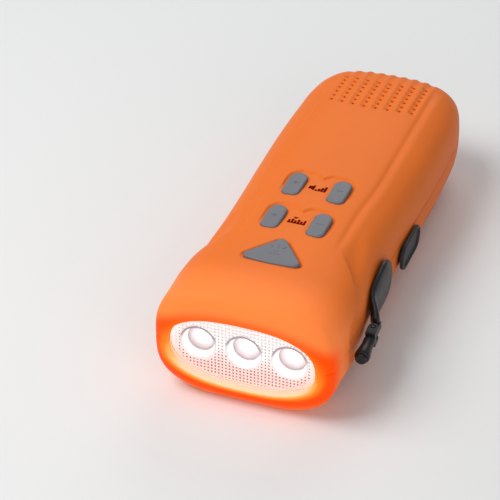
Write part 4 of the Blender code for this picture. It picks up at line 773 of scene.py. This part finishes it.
def noise(tree, scale, detail=2):
    """Noise on the Object coordinates."""
    place = tree.nodes.new("ShaderNodeTexCoord")
    node = tree.nodes.new("ShaderNodeTexNoise")
    feed(tree, node, {"Vector": place.outputs["Object"], "Scale": scale, "Detail": detail})
    return node.outputs["Fac"]


def finish(name, colour, roughness, metallic=0.0, grain=900.0, depth=0.05, mottle=0.05, rough_spread=0.06,
           specular=0.5):
    """Moulded or metal finish on Object coordinates: fine grain bump, slow colour drift and uneven gloss."""
    material = bpy.data.materials.new(name)
    material.use_nodes = True
    tree, shader = principled(material)
    drift = noise(tree, DRIFT_SCALE, 4)
    darker = tuple(c * (1 - mottle) for c in colour)
    lighter = tuple(min(c * (1 + mottle), 1) for c in colour)
    bump = tree.nodes.new("ShaderNodeBump")
    feed(tree, bump, {"Strength": depth, "Distance": GRAIN_HEIGHT, "Height": noise(tree, grain)})
    feed(tree, shader, {
        "Metallic": metallic, "Specular IOR Level": specular, "Normal": bump.outputs["Normal"],
        "Base Color": blend(tree, drift, darker, lighter),
        "Roughness": span(tree, drift, 0, 1, roughness - rough_spread, roughness + rough_spread, "LINEAR")})
    return material


def object_place(tree):
    """X, Y and Z sockets of the Object coordinates."""
    place = tree.nodes.new("ShaderNodeTexCoord")
    split = tree.nodes.new("ShaderNodeSeparateXYZ")
    tree.links.new(place.outputs["Object"], split.inputs["Vector"])
    return split.outputs


def window_share(tree, place):
    """How far a point is from the lamp window's centre line, 1 on its outline: the oval's own formula."""
    x = maths(tree, "DIVIDE", maths(tree, "ABSOLUTE", place["X"]), WINDOW_HALF_WIDTH * MM)
    z = maths(tree, "SUBTRACT", place["Z"], WINDOW_HEIGHT * MM)
    z = maths(tree, "DIVIDE", maths(tree, "ABSOLUTE", z), WINDOW_HALF_HEIGHT * MM)
    total = maths(tree, "ADD", maths(tree, "POWER", x, WINDOW_POWER), maths(tree, "POWER", z, WINDOW_POWER))
    return maths(tree, "POWER", total, 1 / WINDOW_POWER)


def lamp_glow(material):
    """Painted lamp light that shines through the rim: emission from white at the window to deep orange away
    from it, the base colour turned deep orange by the rim, and a weak painted glow over the front of the
    head, all gone along the head."""
    tree, shader = principled(material)
    place = object_place(tree)
    share = window_share(tree, place)
    front = span(tree, place["Y"], (2.5 - LENGTH / 2) * MM, (11 - LENGTH / 2) * MM, 1, 0)
    low = span(tree, place["Z"], 10 * MM, 27 * MM, 1, 0.3)
    hot = maths(tree, "MULTIPLY", span(tree, share, 0.94, 1.23, 1, 0), low)
    base = shader.inputs["Base Color"].links[0].from_socket
    crown = span(tree, place["Z"], 20 * MM, 31 * MM, 0, 0.34)
    deep = maths(tree, "MULTIPLY", front, span(tree, maths(tree, "ADD", share, crown), 1.25, 1.65, 1, 0))
    glow = blend(tree, deep, (1.0, 0.27, 0.09), (1.0, 0.10, 0.0))
    for start, end, colour in GLOW_STEPS:
        glow = blend(tree, span(tree, hot, start, end), glow, colour)
    strength = maths(tree, "MULTIPLY", maths(tree, "POWER", hot, 1.2), 0.8)
    strength = maths(tree, "ADD", strength, maths(tree, "MULTIPLY", deep, 0.3))
    strength = maths(tree, "MULTIPLY", strength, front)
    # weak painted glow that brightens the front of the head, fading towards the tail
    head = span(tree, place["Y"], (3 - LENGTH / 2) * MM, (26 - LENGTH / 2) * MM, 0.30, 0)
    feed(tree, shader, {"Base Color": blend(tree, deep, base, DEEP_ORANGE), "Emission Color": glow,
                        "Emission Strength": maths(tree, "MAXIMUM", strength, head)})


def dotted(material):
    """Painted lamp light on the lens plate: white with a square grid of darker dots, stronger below, and a
    plain bright edge.
    """
    tree, shader = principled(material)
    place = object_place(tree)
    share = window_share(tree, place)
    off = []
    for axis in ("X", "Z"):
        cell = maths(tree, "DIVIDE", place[axis], LENS_PITCH * MM)
        off.append(maths(tree, "ABSOLUTE", maths(tree, "SUBTRACT", cell, maths(tree, "ROUND", cell))))
    spot = span(tree, distance(tree, *off), DOT_SHARE - 0.08, DOT_SHARE + 0.08, 1, 0)
    low = span(tree, place["Z"], 11 * MM, 29 * MM, 1, 0.35)
    shade = maths(tree, "MULTIPLY", maths(tree, "MULTIPLY", spot, low), span(tree, share, 0.90, 0.95, 1, 0))
    tint = blend(tree, span(tree, place["Z"], 11 * MM, 21 * MM, 0.9, 0), (1.0, 0.97, 0.96), (1.0, 0.66, 0.60))
    feed(tree, shader, {"Base Color": blend(tree, shade, tint, (0.16, 0.10, 0.10)), "Emission Strength": 0.55,
                        "Emission Color": blend(tree, shade, tint, (0.20, 0.12, 0.12))})


def distance(tree, first, second):
    """Length of the hypotenuse over two values."""
    squares = maths(tree, "ADD", maths(tree, "POWER", first, 2.0), maths(tree, "POWER", second, 2.0))
    return maths(tree, "SQRT", squares)


def place_in_cup(tree):
    """Place across and up from the middle of the nearest cup."""
    place = object_place(tree)
    cell = maths(tree, "ROUND", maths(tree, "DIVIDE", place["X"], CUP_SPACING * MM))
    x = maths(tree, "SUBTRACT", place["X"], maths(tree, "MULTIPLY", cell, CUP_SPACING * MM))
    return x, maths(tree, "SUBTRACT", place["Z"], CUP_HEIGHT * MM)


def cone_light(material):
    """White cones lit by painted lamp light, with painted shade that greys their rims over the upper half, by
    the place in each cup.
    """
    tree, shader = principled(material)
    x, z = place_in_cup(tree)
    rim = span(tree, distance(tree, x, z), (CONE_RADIUS - 0.60) * MM, (CONE_RADIUS - 0.35) * MM)
    # painted shade: grey over the upper half of each cone's rim
    shade = maths(tree, "MULTIPLY", rim, span(tree, z, 0, 3 * MM))
    base = shader.inputs["Base Color"].links[0].from_socket
    feed(tree, shader, {"Base Color": blend(tree, shade, base, (0.52, 0.44, 0.47)),
                        "Emission Color": (1.0, 0.97, 0.96),
                        "Emission Strength": span(tree, shade, 0.0, 1.0, 0.42, 0.14)})


def cup_light(material):
    """Painted lamp light in the reflector bowls, by the place in each cup: white in the middle, pinkish grey
    at the lip and in soft patches, and darker by the upper lip, a painted shade."""
    tree, shader = principled(material)
    x, z = place_in_cup(tree)
    away = distance(tree, x, z)
    shift = maths(tree, "SUBTRACT", noise(tree, PATCH_SCALE), 0.5)
    shift = maths(tree, "MULTIPLY", shift, PATCH_REACH * MM)
    share = span(tree, maths(tree, "ADD", away, shift), (BOWL_FLOOR - 0.8) * MM, BOWL_RADIUS * MM)
    wide = span(tree, away, BOWL_FLOOR * MM, BOWL_RADIUS * MM, 0.9, 0.5)
    thin = span(tree, away, (BOWL_RADIUS - 0.45) * MM, BOWL_RADIUS * MM, 1, 0.35)
    # painted shade by the upper lip of each bowl
    lip = distance(tree, *(maths(tree, "SUBTRACT", a, b * MM) for a, b in zip((x, z), LIP_SHADE)))
    upper = span(tree, lip, (CONE_RADIUS - 0.9) * MM, (CONE_RADIUS - 0.1) * MM, 1, 0.3)
    strength = maths(tree, "MULTIPLY", maths(tree, "MULTIPLY", wide, thin), upper)
    feed(tree, shader, {"Emission Color": blend(tree, share, (1.0, 0.95, 0.94), (0.85, 0.62, 0.64)),
                        "Emission Strength": strength})


def lit(material, colour, strength):
    """Even light of its own for a lamp's surfaces: the LEDs' own glow, and painted lamp light on the silvered
    reflector.
    """
    feed(*principled(material), {"Emission Color": colour, "Emission Strength": strength})


ORANGE = finish("orange_plastic", (0.85, 0.186, 0.030), 0.45, grain=1500, depth=0.06, specular=0.06)
lamp_glow(ORANGE)
RUBBER = finish("soft_grey_rubber", (0.160, 0.162, 0.178), 0.55, grain=2400, depth=0.12)
CHARCOAL = finish("charcoal_plastic", (0.020, 0.019, 0.022), 0.34, grain=1800, depth=0.08, specular=0.25)
COVER = finish("dark_rubber", (0.030, 0.030, 0.034), 0.45, grain=2200, depth=0.12, specular=0.25)
INK = finish("dark_red_ink", (0.15, 0.003, 0.0), 0.8, mottle=0.2, specular=0.02)
CLEAR = finish("clear_plastic", (0.95, 0.96, 0.96), 0.08, rough_spread=0.03, grain=400, depth=0.01)
feed(*principled(CLEAR), {"Transmission Weight": 1, "IOR": 1.3})
CUP_LIGHT = finish("bowl_silver", (0.50, 0.46, 0.48), 0.4, grain=500, depth=0.02)
cup_light(CUP_LIGHT)
SILVERED = finish("silvered_plastic", (0.50, 0.47, 0.49), 0.3, metallic=0.5, grain=500, depth=0.02)
# painted lamp light: the silvered reflector glows evenly
lit(SILVERED, (1.0, 0.95, 0.95), 0.1)
BRIGHT = finish("bright_cone", (0.92, 0.91, 0.91), 0.35, grain=500, depth=0.02)
cone_light(BRIGHT)
FACETED = finish("faceted_white", (0.90, 0.89, 0.87), 0.3, grain=600, depth=0.04)
dotted(FACETED)
LED = finish("led_resin", (0.95, 0.95, 0.90), 0.1, rough_spread=0.03)
lit(LED, (1.0, 0.98, 0.94), 1.3)
STEEL = finish("screw_steel", (0.55, 0.55, 0.56), 0.32, metallic=1, grain=3000, depth=0.1)
DARK_STEEL = finish("dark_steel", (0.06, 0.06, 0.065), 0.35, metallic=1, grain=3000, depth=0.1)
NATURAL = finish("natural_plastic", (0.75, 0.74, 0.70), 0.45)
BLACK = finish("black_plastic", (0.02, 0.02, 0.021), 0.42)
BOARD = finish("board_laminate", (0.03, 0.16, 0.06), 0.4, mottle=0.15)
BRASS = finish("pinion_brass", (0.75, 0.52, 0.20), 0.3, metallic=1)
COPPER = finish("coil_copper", (0.70, 0.33, 0.16), 0.35, metallic=1, grain=4000, depth=0.3)
FERRITE = finish("magnet_ferrite", (0.07, 0.07, 0.075), 0.6, grain=2500, depth=0.2)
PAPER = finish("speaker_paper", (0.02, 0.02, 0.02), 0.85, grain=2500, depth=0.4)
SLEEVE = finish("cell_sleeve", (0.06, 0.25, 0.12), 0.3)
BY_SLOT = {
    "orange_plastic": ORANGE, "clear_plastic": CLEAR, "silvered_plastic": SILVERED, "led_resin": LED,
    "board_laminate": BOARD, "soft_grey_rubber": RUBBER, "switch_plastic": BLACK, "chip_resin": BLACK,
    "screw_steel": STEEL, "speaker_steel": STEEL, "speaker_paper": PAPER, "magnet_ferrite": FERRITE,
    "natural_plastic": NATURAL, "shaft_steel": STEEL, "pinion_brass": BRASS, "case_steel": STEEL,
    "coil_copper": COPPER, "crank_plastic": CHARCOAL, "cover_rubber": COVER, "socket_steel": STEEL,
    "jack_plastic": BLACK, "cell_sleeve": SLEEVE, "contact_steel": STEEL, "lead_sleeve": BLACK,
}
for part in frame["record"]["subparts"]:
    node = frame["nodes"][part["node"]]
    node.data.materials.clear()
    node.data.materials.append(BY_SLOT[part["material_slot"]])


def top_depth(x, d, z, arc):
    """Inward depth of the top skin's features at each point."""
    return top_relief(x, d, arc) + shoulder(x, z, d, 1)


def low_depth(x, d, z, arc):
    """Inward depth of the bottom skin: the split line's edge and the head's crease on the flanks."""
    return SPLIT_FALL * (1 - step(0, SPLIT_ROUND, arc)) + shoulder(x, z, d, -1) * step(2, 6, z)


def slot_outline(width, length, steps):
    """Slot about the port's place: two half circles and the straight runs between them."""
    cap = arc_points((length - width) / 2, 0, width / 2, -math.pi / 2, math.pi / 2, steps)
    return np.concatenate((cap, -cap)) + PORT_PLACE


top = housing_half("top_skin", 1, TOP_ARCS, TOP_ROWS, SPLIT, top_depth, ORANGE)
low = housing_half("bottom_skin", -1, LOW_ARCS, LOW_ROWS, SPLIT - GAP, low_depth, ORANGE)

bore = turned_shape([(SHAFT_HOLE, 21), (SHAFT_HOLE, 33)], (0, CRANK_PLACE, SPLIT), "x", 32)
openings = [bore] + [column(key_outline(KEY_GAP) + place, *KEY_OPENING) for place in KEYS.values()]
openings.append(column(triangle_ring(KEY_GAP - LAMP_KEY_DRAWN), *KEY_OPENING))
for i in range(GRILLE_COLUMNS):
    x = GRILLE_FIRST + GRILLE_PITCH * i
    start = GRILLE_START + x * x / (2 * GRILLE_ARC_RADIUS)
    for row in range(GRILLE_ROWS):
        d = start + GRILLE_ROW_PITCH * (row + 0.5)
        if d < LENGTH - 6:
            h = float(roof(x, d))
            openings.append(column(circle(HOLE_RADIUS, 14, x, d), h - 6, h + 3))
carve(top, openings)

sinks = [turned_shape([(SCREW_HOLE, -3), (SCREW_HOLE, SCREW_SINK)], (side * SCREW_ACROSS, place, 0), "z", 24)
         for side in (-1, 1) for place in SCREW_PLACES]
carve(low, [bore, column(slot_outline(PORT_WIDTH, PORT_LENGTH, 15), *PORT_OPENING, 0)] + sinks)


def key_levels(corners):
    """Foot of a packed key and the crown as drawn, from the key's box."""
    return corners[0].z / MM, corners[1].z / MM - CROWN_SUNK


for name, (x, d) in KEYS.items():
    foot, crown = key_levels(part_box(name + "_key"))
    level = crown - 0.06
    shapes = [key_body(key_outline, x, d, foot, crown), raised_bar(x, d, MARK_LENGTH, level)]
    if name.endswith("down"):
        shapes.append(raised_bar(x, d, MARK_LENGTH, level, math.pi / 2))
    new_piece(name + "_cap", gather(shapes), RUBBER, name + "_button", (name + "_key",),
              40)

foot, crown = key_levels(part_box("lamp_key"))
level = crown - 0.08
middle = (LAMP_KEY_FRONT + LAMP_KEY_REAR) / 2


def lamp_outline(margin):
    """Outline of the lamp key as drawn, about its middle."""
    return triangle_ring(margin - LAMP_KEY_DRAWN) - (0, middle)


shapes = [key_body(lamp_outline, 0, middle, foot, crown), raised_bar(0, middle - 2.4, 3.4, level),
          raised_bar(0, middle - 0.9, 1.8, level)]
for lean in (-0.6, 0, 0.6):
    across, along = 3.52 * math.sin(lean), 0.6 + 0.9 * math.cos(lean)
    shapes.append(raised_bar(across, middle + along, 1.5, level, math.pi / 2 - lean))
new_piece("lamp_cap", gather(shapes), RUBBER, "lamp_button", ("lamp_key",), 40)

# Crank arm, tongue and knob
round_end = -HUB_RADIUS * np.cos(np.linspace(0.06, math.pi / 2, 26))
reach = np.concatenate((round_end, np.linspace(0, ARM_LENGTH, 36)[1:]))
taper = HUB_RADIUS * smooth_read(ARM_SHARES, (reach / ARM_LENGTH).clip(0, 1))
half_wide = np.where(reach < 0, np.sqrt((HUB_RADIUS ** 2 - reach ** 2).clip(0.01)), taper)
end_gap = np.minimum(reach + HUB_RADIUS, ARM_LENGTH - reach + 0.05)
half_thick = HALF_ARM * np.sqrt((1 - (1 - (end_gap / END_ROUND).clip(0, 1)) ** 2).clip(0.02))
bend = ARM_BEND * step(10, ARM_LENGTH, reach)
arm = loft(crank_place(plump_rings(reach, half_thick, half_wide, ARM_ROUND, ARM_OFFSET + HALF_ARM + bend)))
a = np.linspace(-math.pi / 2, math.pi / 2, 13)
tongue = np.stack((HALF_ARM * np.sin(a), -KNUCKLE_AT - HALF_ARM * np.cos(a)), -1)
tongue = np.concatenate((tongue, [(HALF_ARM, -TONGUE_ROOT), (-HALF_ARM, -TONGUE_ROOT)])) + (TONGUE_MIDDLE, 0)
tongue = loft(crank_place([at_height(tongue, h) for h in (-HALF_ARM, HALF_ARM)]))
new_piece("crank_paddle", gather([arm, tongue]), CHARCOAL, "crank", ("crank_arm",), 45)

points, faces = turned_ring(np.array(KNOB_PROFILE) * (1, -1), (TONGUE_MIDDLE, -KNUCKLE_AT, 0), 40)
new_piece("knob_sleeve", (crank_place(points), faces), CHARCOAL, "knob", ("crank_knob",), 45)

# Knob post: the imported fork, welded and with its edges rounded
post_mesh = frame["nodes"]["handle_post"].data.copy()
welded = bmesh.new()
welded.from_mesh(post_mesh)
bmesh.ops.remove_doubles(welded, verts=welded.verts, dist=WELD_REACH * MM)
welded.to_mesh(post_mesh)
welded.free()
post = scene_object("knob_post", post_mesh)
fine = post.modifiers.new("fine", "REMESH")
fine.mode = "VOXEL"
fine.voxel_size = POST_VOXEL * MM
fine.use_smooth_shade = True
rounding = post.modifiers.new("rounding", "SMOOTH")
rounding.factor = 0.5
rounding.iterations = POST_SMOOTHING
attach(post, "handle")
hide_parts("handle_post")
frame["nodes"]["fold_pin"].data.materials[0] = DARK_STEEL

# Port door
door = [np.insert(slot_outline(width, length, 17), 0, x, axis=1) for width, length, x in DOOR_RINGS]
new_piece("port_flap", loft(door), COVER, "port_door", ("port_cover",), 50)


# Lamp: faceted reflector plate with three cups, LEDs and the clear window
def window_ring(margin, count):
    """Whole outline of the lamp window, shrunk or grown by a margin."""
    a = np.arange(count) * 2 * math.pi / count
    x, z = (np.sign(part) * np.abs(part) ** (2 / WINDOW_POWER) for part in (np.cos(a), np.sin(a)))
    return np.stack(((WINDOW_HALF_WIDTH + margin) * x, WINDOW_HEIGHT + (WINDOW_HALF_HEIGHT + margin) * z), -1)


def faceted_plate():
    """Plate under the window: rings from its edge to its centre line, set with a grid of small domes."""
    shares = np.linspace(1, 0, 70)[:, None]
    edge = window_ring(-GAP, 480)
    spine = np.stack((edge[:, 0].clip(-12, 12) * 0.98, np.full(len(edge), WINDOW_HEIGHT)), -1)
    flat = spine[None] + (edge - spine)[None] * shares[:, :, None]
    x, z = flat[..., 0], flat[..., 1]
    u, v = (LENS_PITCH * (w / LENS_PITCH - np.round(w / LENS_PITCH)) for w in (x, z))
    dome = DOME_HEIGHT * (1 - (np.hypot(u, v) / (LENS_PITCH * 0.48)).clip(0, 1) ** 2)
    away = np.min([np.hypot(x - cup, z - CUP_HEIGHT) for cup in CUPS], 0)
    front = LENS_BACK + GAP + 0.3 - dome * step(5.6, 5.9, away)
    back = np.stack((edge[:, 0], np.full(len(edge), PLATE_BACK), edge[:, 1]), -1)[None]
    return np.concatenate((back, np.stack((x, front, z), -1)))


plate = new_piece("reflector_plate", loft(faceted_plate()), FACETED, "housing", ("reflector",),
                  60)
well = [(CONE_RADIUS - 0.1, 2.6), (CONE_RADIUS - 0.1, 6)]
carve(plate, [turned_shape(well, (x, 0, CUP_HEIGHT), "y", 48) for x in CUPS])
share = np.linspace(0, 1, 14)
inside = np.stack((BOWL_FLOOR + (BOWL_RADIUS - BOWL_FLOOR) * share ** 0.7,
                   CONE_END + BOWL_DEPTH * (1 - share ** 2)), -1)
throat = np.stack((np.full(8, BOWL_FLOOR), np.linspace(THROAT_END, CONE_END + BOWL_DEPTH, 9)[:-1]), -1)
inside = np.concatenate((throat, inside))
bowl = np.concatenate((inside, inside[::-1] + (BOWL_WALL, 0)))
slope = np.linspace(0, 1, 8)
cone = np.stack((BOWL_RADIUS + 0.15 + (CONE_RADIUS - 0.55 - BOWL_RADIUS) * slope ** 0.7,
                 CONE_END - 0.1 - (CONE_END - 3.85) * slope), -1)
cone = np.concatenate((cone, CONE_RIM))
for name, profile, material in (("cups", bowl, CUP_LIGHT), ("cones", cone, BRIGHT)):
    shape = gather([turned_ring(profile, (x, 0, CUP_HEIGHT), 56) for x in CUPS])
    new_piece("reflector_" + name, shape, material, "housing", (), 60)

for name, x in zip(("led_left", "led_middle", "led_right"), CUPS):
    low_corner, high_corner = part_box(name)
    tip, base = low_corner.y / MM + LENGTH / 2, high_corner.y / MM + LENGTH / 2
    a = np.linspace(0, math.pi / 2, 12)
    dome = np.stack((LED_RADIUS * np.sin(a), tip + LED_RADIUS * (1 - np.cos(a))), -1)[1:]
    collar = [(radius, base - rise) for radius, rise in LED_COLLAR]
    shape = turned_shape(np.concatenate(([(0.05, tip)], dome, collar)), (x, 0, CUP_HEIGHT), "y", 40)
    new_piece(name + "_dome", shape, LED, "housing", (name,), 50)

window = [at_height(window_ring(-GAP - inset, 96), d)[:, [0, 2, 1]] for inset, d in LENS_RINGS]
new_piece("lamp_window", loft(window), CLEAR, "housing", ("lens_cover",), 40)


# Printed marks between the keys: a volume sign behind and a tuning sign in front
def box_outline(u, v, width, length):
    """Corners of a rectangle about its middle."""
    return np.array(((-width, -length), (width, -length), (width, length), (-width, length))) / 2 + (u, v)


def print_marks(d):
    """Loudspeaker and rising bars, drawn upright as seen from the lamp end."""
    horn = np.array(((-2.9, -0.8), (-2.1, -0.8), (-1, -1.6), (-1, 1.6), (-2.1, 0.8), (-2.9, 0.8))) + (0, d)
    bars = [box_outline(-0.25 + 0.95 * i, d - 1.6 + 0.4 * (i + 1), 0.72, 0.8 * (i + 1)) for i in range(4)]
    return [horn] + bars


def tuning_marks(d):
    """Dial line with ticks and a pointer."""
    line = [box_outline(0, d - 1.3, 5.8, 0.6)]
    ticks = [box_outline(i - 2.5, d - 0.35 + 0.35 * (i % 2), 0.62, 1.3 + 0.7 * (i % 2)) for i in range(6)]
    pointer = [np.array(((-0.8, 2.1), (0.8, 2.1), (0.0, 1.2))) + (-1.0, d)]
    return line + ticks + pointer


for name, marks in (("volume", print_marks(REAR_KEYS + 0.3)), ("tuning", tuning_marks(FRONT_KEYS + 0.3))):
    new_piece(name + "_print", flat_print(marks), INK, "housing", (), 30)

# Stage
mesh = bpy.data.meshes.new("floor")
mesh.from_pydata([(-3, -3, 0), (3, -3, 0), (3, 3, 0), (-3, 3, 0)], [], [(0, 1, 2, 3)])
pale = bpy.data.materials.new("pale_floor")
pale.use_nodes = True
feed(*principled(pale), {"Base Color": (0.80, 0.80, 0.79), "Roughness": 0.9})
mesh.materials.append(pale)
floor = scene_object("floor", mesh)

world = bpy.data.worlds.new("soft_room")
world.use_nodes = True
feed(world.node_tree, world.node_tree.nodes["Background"], {"Color": (0.85, 0.88, 0.92), "Strength": 0.3})
bpy.context.scene.world = world

for name, place, size, power in LIGHTS:
    lamp = bpy.data.lights.new(name, "AREA")
    lamp.size, lamp.energy = size, power
    obj = scene_object(name, lamp)
    obj.location = Vector(place) * MM
    obj.rotation_mode = "QUATERNION"
    obj.rotation_quaternion = (Vector(LIGHT_AIM) * MM - Vector(place) * MM).to_track_quat("-Z", "Y")

right = np.array((math.cos(CAMERA_TURN), math.sin(CAMERA_TURN), 0))
level = math.cos(CAMERA_RISE)
back = np.array((right[1] * level, -right[0] * level, math.sin(CAMERA_RISE)))
up = np.cross(back, right)
lens = bpy.data.cameras.new("camera")
lens.lens = CAMERA_LENS
lens.sensor_width = 36
lens.clip_start, lens.clip_end = CAMERA_CLIP
camera = scene_object("camera", lens)
spot = np.array(CAMERA_TARGET) + right * CAMERA_SHIFT[0] + up * CAMERA_SHIFT[1] + back * CAMERA_DISTANCE
turn = Matrix((right, up, back)).transposed().to_4x4()
camera.matrix_world = Matrix.Translation(Vector(spot * MM)) @ turn
bpy.context.scene.camera = camera
bpy.context.scene.view_settings.view_transform = "Standard"
